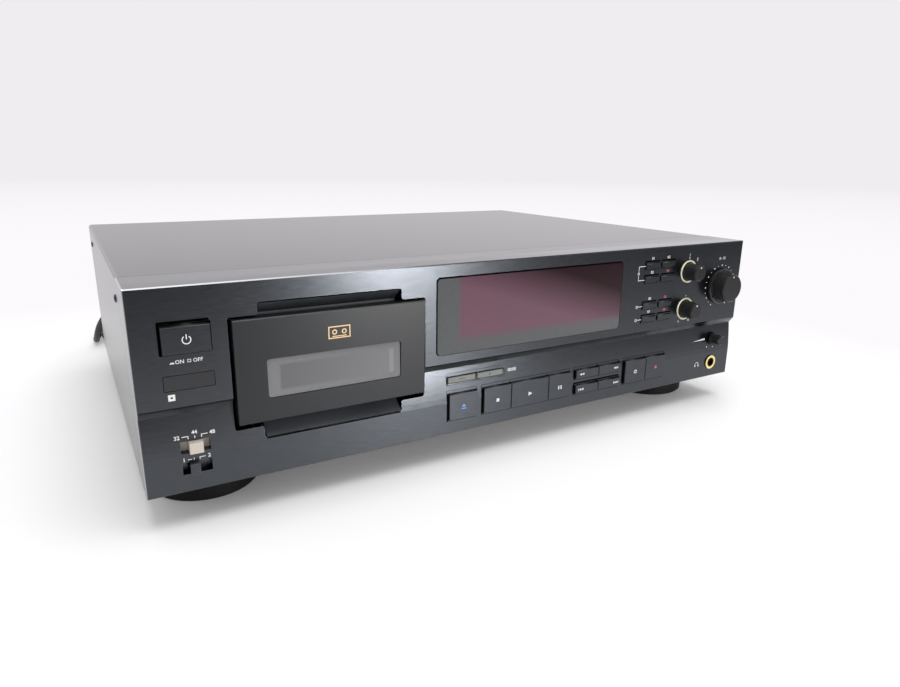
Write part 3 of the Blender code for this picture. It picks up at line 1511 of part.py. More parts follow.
def make_gland(finish):
    x, z = GLAND_PLACE
    root = GAP + GLAND_FLANGE_HEIGHT
    profile = [
        (0, -GLAND_BARREL_LENGTH),
        (GLAND_BARREL_RADIUS, -GLAND_BARREL_LENGTH),
        (GLAND_BARREL_RADIUS, GAP),
        (GLAND_FLANGE_RADIUS, GAP),
        (GLAND_FLANGE_RADIUS, root),
        (GLAND_ROOT_RADIUS, root),
        (GLAND_TIP_RADIUS, GAP + GLAND_LENGTH),
        (0, GAP + GLAND_LENGTH),
    ]
    piece("cord_gland", turned(profile, SMALL_ROUND), finish, (x, BACK, z), REARWARD, smooth=True)


def make_cord(finish):
    turns = coil_line()
    make_tube("cord_coil", turns, 1, finish)
    route = cord_route()
    make_tube("mains_cord", route, 2, finish)
    line = np.array([tuple(point) for point in turns])
    apart = np.linalg.norm(line[:, None] - line[None], axis=2)
    number = np.arange(len(line))
    near = np.abs(number[:, None] - number[None]) < COIL_POINTS_PER_TURN / 2
    apart[near] = np.inf
    length = sum((b - a).length for a, b in zip(turns, turns[1:]))
    free = sum((b - a).length for a, b in zip(route, route[1:]))
    least = apart.min() - CORD_DIAMETER
    print(f"coil: least gap to itself {least:.5f} m, length {length:.3f} m")
    print(f"free lead: {len(route)} points, length {free:.3f} m")


def make_plug(finish):
    """A plain plug with two flat blades, lying on the floor where the coil ends."""
    line = coil_line()
    heading = line[-1] - line[-2]
    at = line[-1] + heading.normalized() * GAP
    relief = PLUG_RELIEF_LENGTH
    half_width = PLUG_WIDTH / 2
    half_height = PLUG_HEIGHT / 2
    outline = rectangle(relief, -half_width, relief + PLUG_LENGTH, half_width)
    body = extrusion(rounded(outline, PLUG_EDGE, steps=2), "Z", -half_height, half_height)
    plug = piece("mains_plug", body, finish, at, (0, 0, math.atan2(heading.y, heading.x)))
    profile = [
        (0, 0),
        (CORD_DIAMETER / 2, 0),
        (PLUG_RELIEF_RADIUS, relief),
        (PLUG_RELIEF_RADIUS, relief + PLUG_EDGE),
        (0, relief + PLUG_EDGE),
    ]
    along = (0, math.radians(90), math.atan2(heading.y, heading.x))
    shaped_by(plug, "UNION", "plug_relief", turned(profile, SMALL_ROUND), at, along)
    start = relief + PLUG_LENGTH
    blades = together(
        block(
            (start - PLUG_EDGE, side * BLADE_SPACING / 2 - BLADE_THICKNESS / 2, -BLADE_WIDTH / 2),
            (start + BLADE_LENGTH, side * BLADE_SPACING / 2 + BLADE_THICKNESS / 2, BLADE_WIDTH / 2),
        )
        for side in (-1, 1)
    )
    shaped_by(plug, "UNION", "plug_blades", blades, at, (0, 0, math.atan2(heading.y, heading.x)))


def main():
    for old in list(bpy.data.objects):
        bpy.data.objects.remove(old, do_unlink=True)
    face = material("brushed black face", (0.035, 0.037, 0.040), 0.38, 0.6)
    steel = material("satin black steel", (0.045, 0.045, 0.048), 0.35, 0.5)
    zinc = material("zinc-plated steel", (0.55, 0.55, 0.52), 0.35, 1.0)
    rubber = material("black rubber", (0.012, 0.012, 0.013), 0.75)
    key = material("black key plastic", (0.030, 0.031, 0.034), 0.45)
    light_key = material("grey key plastic", (0.26, 0.27, 0.26), 0.45)
    knob = material("black knob plastic", (0.022, 0.022, 0.024), 0.40)
    door = material("black door plastic", (0.040, 0.040, 0.044), 0.30)
    pane = material("smoked pane", (0.20, 0.20, 0.21), 0.15, alpha=0.6)
    display = material("red display filter", (0.14, 0.07, 0.09), 0.08)
    infrared = material("infrared window", (0.020, 0.020, 0.024), 0.12)
    glass = material("display tube glass", (0.06, 0.07, 0.07), 0.10)
    cream = material("cream lever plastic", (0.62, 0.56, 0.50), 0.45)
    gold = material("gilt brass", (0.85, 0.62, 0.25), 0.25, 1.0)
    board = material("green circuit board", (0.05, 0.16, 0.07), 0.50)
    alloy = material("cast aluminium", (0.62, 0.62, 0.63), 0.30, 1.0)
    white = material("white acetal", (0.75, 0.74, 0.70), 0.40)
    core = material("varnished core", (0.10, 0.09, 0.08), 0.50, 0.3)

    make_fascia(face)
    make_cover(steel)
    make_rear_panel(steel)
    make_chassis(zinc)
    make_feet(rubber)
    make_windows(display, infrared, glass)
    make_keys(key, light_key, key)
    make_lever("sampling_lever", SAMPLING_RISE, SAMPLING_LEVER_WIDTH, 0, SAMPLING_TRAVEL, cream)
    make_lever("mode_lever", MODE_RISE, MODE_LEVER_WIDTH, -MODE_LEVER_OFFSET, MODE_TRAVEL, key)
    make_knobs(knob)
    make_headphone_socket(gold)
    make_door(door, pane)
    make_tray(door)
    make_mechanism_plate(zinc)
    make_reels(white)
    make_loading_gear(white)
    make_drum(alloy, alloy)
    make_capstan(alloy)
    make_pinch_roller(zinc, rubber)
    make_loading_motor(zinc)
    make_control_board(board)
    make_main_board(board)
    make_transformer(core)
    make_rear_sockets(knob)
    make_gland(rubber)
    make_cord(rubber)
    make_plug(rubber)


main()
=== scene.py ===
# %% [markdown]
# # A digital audio tape deck
#
# The deck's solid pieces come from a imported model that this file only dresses. Every piece of
# that model is already in metres and in its place, so nothing is scaled or moved here. What is
# added is what a solid model leaves out: finishes, printed marks, small screws, thin rings, the
# mains lead with its real curve, and the light and camera of the photograph.

import math

import bmesh
import bpy
from mathutils import Matrix, Vector
from mathutils.bvhtree import BVHTree
from mathutils.geometry import interpolate_bezier


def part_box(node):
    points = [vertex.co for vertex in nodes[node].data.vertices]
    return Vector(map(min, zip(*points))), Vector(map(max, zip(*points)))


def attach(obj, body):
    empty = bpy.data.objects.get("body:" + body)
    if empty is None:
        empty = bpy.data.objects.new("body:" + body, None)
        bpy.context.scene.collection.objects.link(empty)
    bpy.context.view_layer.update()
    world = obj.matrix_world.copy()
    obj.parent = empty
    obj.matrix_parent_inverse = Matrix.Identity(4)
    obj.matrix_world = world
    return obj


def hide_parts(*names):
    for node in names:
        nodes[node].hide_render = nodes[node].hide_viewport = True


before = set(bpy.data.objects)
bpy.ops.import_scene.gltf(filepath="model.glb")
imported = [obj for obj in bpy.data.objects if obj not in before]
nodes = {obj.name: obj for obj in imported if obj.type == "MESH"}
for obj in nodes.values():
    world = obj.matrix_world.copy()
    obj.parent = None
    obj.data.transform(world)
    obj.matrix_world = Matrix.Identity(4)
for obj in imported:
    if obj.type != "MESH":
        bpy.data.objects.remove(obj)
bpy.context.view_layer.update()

# %% [markdown]
# ## Where things are
#
# A dresser of somebody else's model asks the model for its places and does not type them
# again. The box of a piece gives its edges, and from those come the front plane, the middle of
# a knob or the top of a key.

# %% Read the main places from the model
fascia_low, fascia_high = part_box("front_fascia")
FRONT = fascia_low.y
LEFT, RIGHT = fascia_low.x, fascia_high.x
BOTTOM, TOP = fascia_low.z, fascia_high.z
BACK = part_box("rear_panel")[1].y


def added(name, data):
    """A new object in the scene."""
    made = bpy.data.objects.new(name, data)
    bpy.context.scene.collection.objects.link(made)
    return made


def middle_of(node):
    """The middle of a piece's box."""
    low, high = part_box(node)
    return (low + high) / 2


print(f"front plane at {FRONT:.4f}, back at {BACK:.4f}, top at {TOP:.4f}")

# %% [markdown]
# ## The camera
#
# The photograph was taken from close by with a wide lens, a little left of the deck's left
# side and somewhat above its top. That closeness is why the front right corner looks small. The
# place, the direction and the lens were worked out by fitting the known straight edges of the
# case to the photograph, and the slight roll comes from the same fit.

# %% Place the camera
SENSOR_WIDTH, FOCAL_LENGTH = 36, 26.37
CAMERA_PLACE = (-0.23330, -0.48671, 0.18420)
CAMERA_YAW, CAMERA_PITCH, CAMERA_ROLL = 30.199, -15.724, 0.606
camera_data = bpy.data.cameras.new("photo camera")
camera_data.sensor_width = SENSOR_WIDTH
camera_data.lens = FOCAL_LENGTH
camera = added("photo_camera", camera_data)
yaw, pitch, roll = (math.radians(angle) for angle in (CAMERA_YAW, CAMERA_PITCH, CAMERA_ROLL))
looking = Vector((math.sin(yaw) * math.cos(pitch), math.cos(yaw) * math.cos(pitch), math.sin(pitch)))
level_right = Vector((math.cos(yaw), -math.sin(yaw), 0))
level_up = level_right.cross(looking)
right = level_right * math.cos(roll) + level_up * math.sin(roll)
up = level_up * math.cos(roll) - level_right * math.sin(roll)
turned_to = Matrix((right, up, -looking)).transposed().to_4x4()
camera.matrix_world = Matrix.Translation(CAMERA_PLACE) @ turned_to
bpy.context.scene.camera = camera
print(f"camera at {tuple(round(v, 3) for v in camera.location)}")

# %% [markdown]
# ## The mains lead
#
# A lead is one length of rubbery cable. It comes straight out of its strain relief, falls to
# the floor in one easy curve and is wound there in a neat coil of two layers, as for storage.
# The coil follows a formula: the radius shrinks at a steady rate, the cable climbs one layer,
# and the radius grows again. A curve object with a round bevel keeps its thickness everywhere,
# which a swept mesh made by hand would not. The bevel is 1 deep and each point carries the real
# radius, because Blender adds that radius when it works out the size of a curve.

# %% Follow the lead's route
LEAD_DIAMETER = 0.006
TOUCHING = 0.0003
COIL_RADIUS, COIL_PITCH, COIL_TURNS, COIL_POINTS = 0.046, 0.0065, 6.25, 150
COIL_FROM_LEFT, COIL_FROM_BACK = 0.0435, 0.0980
gland_low, gland_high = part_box("cord_gland")
lead_start = Vector((middle_of("cord_gland").x, gland_high.y + TOUCHING, middle_of("cord_gland").z))
coil_middle = Vector((LEFT + COIL_FROM_LEFT, BACK + COIL_FROM_BACK, LEAD_DIAMETER / 2 + TOUCHING))
ROUTE_SHARES = (
    (0.06, 0.08, 0.02), (0.24, 0.23, 0.10), (0.52, 0.37, 0.26), (0.76, 0.49, 0.47),
    (0.91, 0.61, 0.69), (0.98, 0.76, 0.88), (1.00, 0.91, 0.98),
)


def coil_point(turn):
    """A point of the coil's middle line, this many turns from its start."""
    half = COIL_TURNS / 2
    radius = COIL_RADIUS - COIL_PITCH * (half - abs(turn - half))
    share = min(1.0, max(0.0, (turn - half) / 0.5 + 0.5))
    angle = math.pi - 2 * math.pi * turn
    climb = COIL_PITCH * share * share * (3 - 2 * share)
    return coil_middle + Vector((radius * math.cos(angle), radius * math.sin(angle), climb))


def smooth_through(points, steps):
    """Points on one smooth curve through the given ones."""
    found = []
    for k in range(len(points) - 1):
        before, after = points[max(k - 1, 0)], points[min(k + 2, len(points) - 1)]
        reach = (points[k + 1] - points[k]).length / 3
        leave = points[k] + (points[k + 1] - before).normalized() * reach
        arrive = points[k + 1] - (after - points[k]).normalized() * reach
        found += interpolate_bezier(points[k], leave, arrive, points[k + 1], steps)[:-1]
    return found + [points[-1]]


turns = [coil_point(COIL_TURNS * k / COIL_POINTS) for k in range(COIL_POINTS + 1)]
first = (turns[0] - coil_point(COIL_TURNS / COIL_POINTS)).normalized()
last = (turns[-1] - turns[-2]).normalized()
first.z = last.z = 0
coil_start, coil_end = turns[0] + first * LEAD_DIAMETER, turns[-1] + last * LEAD_DIAMETER
leave = lead_start + Vector((0, LEAD_DIAMETER, 0))
arrive = coil_start + first * (LEAD_DIAMETER + TOUCHING)
chosen = [leave + (arrive - leave) * Vector(shares) for shares in ROUTE_SHARES]
lead_points = [lead_start] + smooth_through([leave] + chosen + [arrive], 4) + turns + [coil_end]
print(f"{len(lead_points)} points from the strain relief to the plug")

# %% Lay the lead as a curve
lead_curve = bpy.data.curves.new("mains_lead", "CURVE")
lead_curve.dimensions = "3D"
lead_curve.bevel_depth = 1.0
lead_curve.bevel_resolution = 2
lead_curve.use_fill_caps = True
lead_spline = lead_curve.splines.new("POLY")
lead_spline.points.add(len(lead_points) - 1)
for held, point in zip(lead_spline.points, lead_points):
    held.co = (*point, 1)
    held.radius = LEAD_DIAMETER / 2
lead_spline.use_smooth = True
mains_lead = added("mains_lead", lead_curve)
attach(mains_lead, "deck")
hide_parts("mains_cord", "cord_coil")

# %% [markdown]
# ## Effects that several finishes share
#
# Brushing, speckle, wear and dust turn up on many of the deck's materials with different
# strengths. Each is a node group: built once, with named inputs, and placed in every material
# that needs it. A group only hands out masks and heights, and the shader stays in the material.

# %% Start a node group


def start_group(name, inputs, outputs):
    """An empty group with its named sockets, and its own input and output nodes."""
    group = bpy.data.node_groups.new(name, "ShaderNodeTree")
    for label, value in inputs:
        socket = group.interface.new_socket(name=label, in_out="INPUT", socket_type="NodeSocketFloat")
        socket.default_value = value
    for label in outputs:
        group.interface.new_socket(name=label, in_out="OUTPUT", socket_type="NodeSocketFloat")
    return group, group.nodes.new("NodeGroupInput"), group.nodes.new("NodeGroupOutput")


def filled(tree, node, values):
    """Gives each socket named in values its number or colour, or a link."""
    for key, value in values.items():
        if isinstance(value, bpy.types.NodeSocket):
            tree.links.new(value, node.inputs[key])
        else:
            node.inputs[key].default_value = value
    return node


def node_of(tree, kind, values, **settings):
    """A new node with its settings and its sockets' values."""
    node = tree.nodes.new("ShaderNode" + kind)
    for label, value in settings.items():
        setattr(node, label, value)
    return filled(tree, node, values)


def sum_node(tree, operation, *values):
    """A Math node's result."""
    return node_of(tree, "Math", dict(enumerate(values)), operation=operation).outputs[0]


def vector_node(tree, operation, *values):
    """A Vector Math node's result, which is a number for three of the operations."""
    node = node_of(tree, "VectorMath", dict(enumerate(values)), operation=operation)
    return node.outputs["Value" if operation in ("DOT_PRODUCT", "DISTANCE", "LENGTH") else "Vector"]


def product(tree, *masks):
    """All the masks multiplied."""
    mask = masks[0]
    for other in masks[1:]:
        mask = sum_node(tree, "MULTIPLY", mask, other)
    return mask


def range_node(tree, value, low, high, to_low=0.0, to_high=1.0):
    """A Map Range node from low..high to to_low..to_high, clamped."""
    bounds = {"Value": value, "From Min": low, "From Max": high, "To Min": to_low, "To Max": to_high}
    return node_of(tree, "MapRange", bounds).outputs["Result"]


def object_place(tree):
    """A point's place on its object, as one socket."""
    return node_of(tree, "TexCoord", {}).outputs["Object"]


def apart(tree, vector):
    """A vector's X, Y and Z, as three sockets."""
    return node_of(tree, "SeparateXYZ", {0: vector}).outputs


def noise(tree, vector, scale, detail, roughness=0.5):
    """A noise texture's value."""
    values = {"Vector": vector, "Scale": scale, "Detail": detail, "Roughness": roughness}
    return node_of(tree, "TexNoise", values).outputs["Fac"]


# %% Build the brushing group
TONE_STRETCH = 0.45  # the tone's strokes are longer and wider than those of the height
brushing, inner, outer = start_group(
    "brushing", [("Strokes across", 4200.0), ("Strokes along", 40.0)], ["Height", "Tone"]
)
place = object_place(brushing)
for scale, label in ((1.0, "Height"), (TONE_STRETCH, "Tone")):
    along = product(brushing, inner.outputs["Strokes along"], scale)
    across = product(brushing, inner.outputs["Strokes across"], scale)
    stretch = node_of(brushing, "CombineXYZ", {"X": along, "Y": along, "Z": across}).outputs[0]
    stretched = vector_node(brushing, "MULTIPLY", place, stretch)
    filled(brushing, outer, {label: noise(brushing, stretched, 1.0, 3.0)})
print("brushing strokes run along X and Y, and are fine along Z")

# %% Build the speckle group
CLOUD_SHARE = 0.012  # the scale of the clouds against that of the grains
speckle, inner, outer = start_group("speckle", [("Grains per metre", 2500.0)], ["Height", "Tone"])
place, fineness = object_place(speckle), inner.outputs["Grains per metre"]
grains = noise(speckle, place, fineness, 2.0)
clouds = noise(speckle, place, product(speckle, fineness, CLOUD_SHARE), 4.0)
mixed = product(speckle, sum_node(speckle, "ADD", grains, clouds), 0.5)
filled(speckle, outer, {"Height": grains, "Tone": mixed})
print("speckle has fine grains and slow clouds")

# %% Build the worn edges group
PATCHES_PER_METRE = 260.0
worn_edges, inner, outer = start_group("worn edges", [("Radius", 0.0006)], ["Mask"])
rounding = node_of(worn_edges, "Bevel", {"Radius": inner.outputs["Radius"]}, samples=4)
flat_normal = node_of(worn_edges, "NewGeometry", {}).outputs["Normal"]
turning = vector_node(worn_edges, "DOT_PRODUCT", rounding.outputs["Normal"], flat_normal)
patches = noise(worn_edges, object_place(worn_edges), PATCHES_PER_METRE, 5.0)
near_edge = range_node(worn_edges, turning, 0.99, 0.80)
patchy = range_node(worn_edges, patches, 0.35, 0.65)
filled(worn_edges, outer, {"Mask": product(worn_edges, near_edge, patchy)})
print("worn edges are where the rounded normal leaves the flat one")

# %% Build the settled dust group
settled_dust, inner, outer = start_group("settled dust", [("Flecks per metre", 900.0)], ["Mask"])
facing = apart(settled_dust, node_of(settled_dust, "NewGeometry", {}).outputs["Normal"])
flecks = noise(settled_dust, object_place(settled_dust), inner.outputs["Flecks per metre"], 6.0, 0.7)
upward = range_node(settled_dust, facing["Z"], 0.7, 1.0)
sparse = range_node(settled_dust, flecks, 0.55, 0.8)
filled(settled_dust, outer, {"Mask": product(settled_dust, upward, sparse)})
print("dust lies only on faces that look up")

# %% [markdown]
# ## A finish and its parts
#
# Every finish is one Principled shader. A texture tone varies its colour and its gloss a little,
# because nothing real is the same all over. A fine height map gives the grain, worn edges show
# a lighter colour, and faces that look up hold some dust. What is constant, such as how
# metallic it is, is set on the shader itself.

# %% Make finishes
TONE_SPAN = (0.3, 0.7)  # a noise texture seldom leaves this range
STROKE_LENGTH = 25  # in widths of a stroke
DUST_COLOUR = (0.5, 0.49, 0.47)
COAT_ROUGHNESS = 0.08
BUMP_STRENGTH = 0.6


def mixed_colour(tree, share, first_colour, second_colour):
    """A Mix node for colours; a share or a colour is a value or a socket."""
    values = {0: share, 6: first_colour, 7: second_colour}
    values = {k: (*value, 1.0) if isinstance(value, tuple) else value for k, value in values.items()}
    return node_of(tree, "Mix", values, data_type="RGBA").outputs[2]


def shader_of(made):
    """A finish's Principled shader."""
    return made.node_tree.nodes["Principled BSDF"]


def finish(
    name, colour, roughness, texture=speckle, fineness=2500.0, variation=0.25, relief=0.00002,
    metallic=0.0, worn=0.25, worn_colour=(0.25, 0.25, 0.26), dust=0.12, coat=0.0, ior=1.5,
    anisotropic=0.0, sheen_of_gloss=0.06,
):
    """A finish with texture, worn edges and dust; returns the material."""
    made = bpy.data.materials.new(name)
    made.use_nodes = True
    tree = made.node_tree
    sockets = {"Grains per metre": fineness}
    if texture is brushing:
        sockets = {"Strokes across": fineness, "Strokes along": fineness / STROKE_LENGTH}
    grain = node_of(tree, "Group", sockets, node_tree=texture)
    tone = grain.outputs["Tone"]
    dark = tuple(v * (1 - variation) for v in colour)
    light = tuple(min(1.0, v * (1 + variation)) for v in colour)
    base = mixed_colour(tree, range_node(tree, tone, *TONE_SPAN), dark, light)
    for group, share, laid_colour in ((worn_edges, worn, worn_colour), (settled_dust, dust, DUST_COLOUR)):
        if share:
            mask = product(tree, node_of(tree, "Group", {}, node_tree=group).outputs["Mask"], share)
            base = mixed_colour(tree, mask, base, laid_colour)
    relief_values = {"Height": grain.outputs["Height"], "Distance": relief, "Strength": BUMP_STRENGTH}
    dullest, shiniest = roughness + sheen_of_gloss, roughness - sheen_of_gloss
    filled(tree, shader_of(made), {
        "Metallic": metallic, "IOR": ior, "Coat Weight": coat, "Coat Roughness": COAT_ROUGHNESS,
        "Anisotropic": anisotropic, "Base Color": base,
        "Roughness": range_node(tree, tone, *TONE_SPAN, shiniest, dullest),
        "Normal": node_of(tree, "Bump", relief_values).outputs["Normal"],
    })
    return made


# %% [markdown]
# ## The finishes of the case
#
# The front is dark brushed metal: long fine strokes from side to side, which smear each
# highlight upwards and downwards into a soft vertical band. A painted highlight runs along its
# left edge and the left part of its top edge, and the bevel under its step carries a painted
# reflection with a painted dark crease. The cover is plain sheet steel under a satin black paint
# with a barely visible grain. The chassis and the brackets inside are bare zinc-plated steel,
# which the cover hides.

# %% Tell faces apart by where they look and lie
SIDE_PAINTED_SHADE, SIDE_ROUGHNESS = (0.002, 0.002, 0.002), 0.7


def directions(tree):
    """The direction that a face looks in, as three sockets."""
    return apart(tree, node_of(tree, "NewGeometry", {}).outputs["True Normal"])


def places(tree):
    """A point's place on the deck, as three sockets."""
    return apart(tree, object_place(tree))


def recoloured(tree, shader, mask, colour):
    """Lays a colour over the shader's own where the mask is 1."""
    own = shader.inputs["Base Color"].links[0].from_socket
    filled(tree, shader, {"Base Color": mixed_colour(tree, mask, own, colour)})


def mixed_value(tree, share, first_value, second_value):
    """A Mix node for numbers."""
    return node_of(tree, "Mix", {0: share, 2: first_value, 3: second_value}).outputs[0]


def reshined(tree, shader, mask, roughness):
    """Changes the shader's roughness where the mask is 1."""
    own = shader.inputs["Roughness"].links[0].from_socket
    filled(tree, shader, {"Roughness": mixed_value(tree, mask, own, roughness)})


def painted_shade_on_sides(made):
    """Paints shade on each face that does not look forwards: near black, dull and not metallic."""
    tree, shader = made.node_tree, shader_of(made)
    sides = range_node(tree, directions(tree)["Y"], -0.9, -0.6)
    recoloured(tree, shader, sides, SIDE_PAINTED_SHADE)
    reshined(tree, shader, sides, SIDE_ROUGHNESS)
    own = shader.inputs["Metallic"].default_value
    filled(tree, shader, {"Metallic": range_node(tree, directions(tree)["Y"], -0.6, -0.9, 0.0, own)})
    return made


# %% Make the case's finishes
QUARTER_TURN = 0.25
SIDE_GLOSS, UPPER_GLOSS = 0.26, 0.15
STEP_TOP, STEP_LOW, STEP_SOFT = BOTTOM + 0.0463, BOTTOM + 0.0417, 0.0004
CREASE_START, CREASE_END = STEP_TOP - 0.0013, STEP_TOP - 0.0006
STEP_FOOT_PAINTED_REFLECTION, STEP_TOP_PAINTED_REFLECTION, CREASE_PAINTED_SHADE = (0.125, 0.128, 0.132), (0.050, 0.052, 0.054), (0.016, 0.017, 0.018)
EDGE_PAINTED_HIGHLIGHT = (0.45, 0.45, 0.46)
PAINT_TINT = (0.975, 0.957, 1.0, 1.0)


def lengthwise(made):
    """Turns a finish's strokes from side to side on the front."""
    strokes = node_of(made.node_tree, "Tangent", {}, direction_type="RADIAL", axis="Z")
    values = {"Tangent": strokes.outputs[0], "Anisotropic Rotation": QUARTER_TURN}
    filled(made.node_tree, shader_of(made), values)
    return made


def brushed(name, colour):
    """Dark metal with strokes from side to side."""
    return lengthwise(finish(
        name, colour, 0.25, texture=brushing, fineness=8000.0, variation=0.12, relief=0.000007,
        metallic=1.0, worn=0.2, worn_colour=(0.42, 0.43, 0.44), dust=0.0, anisotropic=0.74,
        sheen_of_gloss=0.02,
    ))


brushed_black = brushed("brushed black metal", (0.0710, 0.0760, 0.0835))
tree, shader = brushed_black.node_tree, shader_of(brushed_black)
looks, place = directions(tree), places(tree)
reshined(tree, shader, range_node(tree, looks["Y"], -0.5, -0.2), SIDE_GLOSS)
reshined(tree, shader, range_node(tree, looks["Z"], 0.5, 0.8), UPPER_GLOSS)
forwards = range_node(tree, looks["Y"], -0.3, -0.5)
# The bevel under the step carries a painted reflection, lighter at its foot, and a painted dark crease near
# its top.
painted_step_mask = product(
    tree, forwards, range_node(tree, looks["Z"], -0.2, -0.4),
    range_node(tree, place["Z"], STEP_LOW - STEP_SOFT, STEP_LOW),
)
painted_step_reflection = mixed_colour(tree, range_node(tree, place["Z"], STEP_LOW, STEP_TOP), STEP_FOOT_PAINTED_REFLECTION, STEP_TOP_PAINTED_REFLECTION)
painted_crease_share = range_node(tree, place["Z"], CREASE_START, CREASE_END)
recoloured(tree, shader, painted_step_mask, mixed_colour(tree, painted_crease_share, painted_step_reflection, CREASE_PAINTED_SHADE))
# Thin painted highlights run along the left edge, the left part of the top edge and the top left corner.
left_edge_highlight = product(
    tree, forwards, range_node(tree, looks["X"], -0.3, -0.5),
    range_node(tree, place["X"], LEFT + 0.00040, LEFT + 0.00025),
)
top_edge_highlight = product(
    tree, forwards, range_node(tree, looks["Z"], 0.3, 0.5),
    range_node(tree, place["Z"], TOP - 0.0009, TOP - 0.0007),
    range_node(tree, place["X"], 0.0, -0.2, 0.0, 0.5),
)
back_edge_highlight = product(
    tree, range_node(tree, place["Z"], TOP - 0.0008, TOP - 0.0006),
    range_node(tree, place["X"], LEFT + 0.0008, LEFT + 0.0006),
)
for cut in (left_edge_highlight, top_edge_highlight, back_edge_highlight):
    recoloured(tree, shader, cut, EDGE_PAINTED_HIGHLIGHT)
# The keys' side faces get painted shade.
key_black = painted_shade_on_sides(brushed("brushed key metal", (0.0715, 0.0765, 0.0845)))
satin_paint = finish(
    "satin black paint", (0.024, 0.023, 0.025), 0.20, fineness=3200.0, variation=0.04,
    relief=0.000003, ior=1.65, dust=0.03, sheen_of_gloss=0.003,
)
shader_of(satin_paint).inputs["Specular Tint"].default_value = PAINT_TINT
zinc_plate = finish("zinc plate", (0.50, 0.49, 0.45), 0.36, fineness=700.0, metallic=1.0, worn=0.1, dust=0.2)
foot_rubber = finish(
    "foot rubber", (0.010, 0.010, 0.011), 0.62, fineness=2200.0, relief=0.00006, worn=0.05, ior=1.2,
)
lead_rubber = finish("lead rubber", (0.012, 0.012, 0.012), 0.42, fineness=1500.0, worn=0.0, dust=0.08)
print("case finishes made")

# %% [markdown]
# ## The finishes of what is worked by hand
#
# The keys are brushed like the front, the knobs are moulded with a fine grain, and the tray
# door is a smoother and shinier plastic. The keys' side faces carry painted shade. The sampling
# lever is a cream plastic, and the socket's ring is plated with gold, with painted shade where it
# turns into its hole.

# %% Make the finishes of keys, knobs and door
GILT_EDGE, HOLE_EDGE, GILT_PAINTED_SHADE = 0.0040, 0.0037, (0.30, 0.22, 0.04)
# The counter keys' side faces get painted shade too.
key_grey = painted_shade_on_sides(finish("key grey", (0.21, 0.22, 0.20), 0.45, fineness=1500.0, variation=0.2, worn=0.0))
knob_black = finish("knob black", (0.019, 0.019, 0.020), 0.28, fineness=3000.0, worn=0.3, ior=1.35)
rim_black = finish("rim black", (0.02, 0.02, 0.021), 0.16, fineness=1500.0, worn=0.0, ior=1.9, dust=0.0)
door_black = lengthwise(finish(
    "door black", (0.0110, 0.0128, 0.0150), 0.30, fineness=1800.0, relief=0.000003, variation=0.06,
    worn=0.2, sheen_of_gloss=0.01, anisotropic=0.55, ior=1.44,
))
tray_black = finish("tray black", (0.060, 0.065, 0.074), 0.42, fineness=2600.0, worn=0.2, ior=1.3)
lever_cream = finish(
    "lever cream", (0.62, 0.55, 0.48), 0.42, fineness=2600.0, variation=0.08, worn=0.0, dust=0.0,
)
gilt = finish(
    "gilt", (0.88, 0.74, 0.38), 0.22, fineness=900.0, variation=0.1, metallic=1.0, worn=0.0, dust=0.0,
)
tree, across_front = gilt.node_tree, Vector((1, 0, 1))
flat_place = vector_node(tree, "MULTIPLY", object_place(tree), across_front)
from_axis = vector_node(tree, "DISTANCE", flat_place, middle_of("headphone_socket") * across_front)
# Painted shade darkens the gold where it turns into the socket's hole.
recoloured(tree, shader_of(gilt), range_node(tree, from_axis, GILT_EDGE, HOLE_EDGE), GILT_PAINTED_SHADE)
print("finishes for hands made")

# %% [markdown]
# ## The finishes inside
#
# Nobody sees these with the cover on, but the tray opens and the file should hold up from
# every side. Turned metal takes the brushing group too: its strokes run round the piece,
# because they are fine along Z only.

# %% Make the inner finishes
turned_metal = finish(
    "turned metal", (0.62, 0.62, 0.63), 0.24, texture=brushing, fineness=3000.0, metallic=1.0,
    variation=0.08, worn=0.0, dust=0.05,
)
white_acetal = finish("white acetal", (0.72, 0.71, 0.67), 0.38, variation=0.05, worn=0.0)
roller_rubber = finish("roller rubber", (0.020, 0.018, 0.017), 0.55, fineness=1800.0, worn=0.0)
board_green = finish(
    "board green", (0.03, 0.12, 0.05), 0.32, fineness=600.0, variation=0.3, worn=0.0, dust=0.3, coat=0.3,
)
core_varnish = finish(
    "core varnish", (0.09, 0.075, 0.06), 0.42, texture=brushing, fineness=1200.0, variation=0.3,
    metallic=0.4, dust=0.3,
)
print("inner finishes made")

# %% [markdown]
# ## Windows
#
# The display window is one smoked sheet. Behind most of it lies a red filter, and a strip at its
# left and its lower edge stays grey-green. Zones like these are printed on the back of the sheet,
# so they are masks from the place on the sheet, not separate pieces. Towards its upper right the
# red carries a painted reflection of the dim room, which darkens it. The door's little window is
# frosted round its border and clearer in the middle.

# %% Mask a rectangle of the front


def zone(tree, left, low, right, high, soft=0.0004):
    """A mask that is 1 inside a rectangle of the front and 0 outside it."""
    place = places(tree)
    x, z = place["X"], place["Z"]
    return product(
        tree, range_node(tree, x, left - soft, left + soft), range_node(tree, x, right + soft, right - soft),
        range_node(tree, z, low - soft, low + soft), range_node(tree, z, high + soft, high - soft),
    )


def window(name, colour, roughness):
    """A smooth window finish; returns the material, its tree and its shader."""
    made = finish(
        name, colour, roughness, fineness=500.0, relief=0.000002, variation=0.06, worn=0.0, dust=0.02,
        sheen_of_gloss=0.02,
    )
    return made, made.node_tree, shader_of(made)


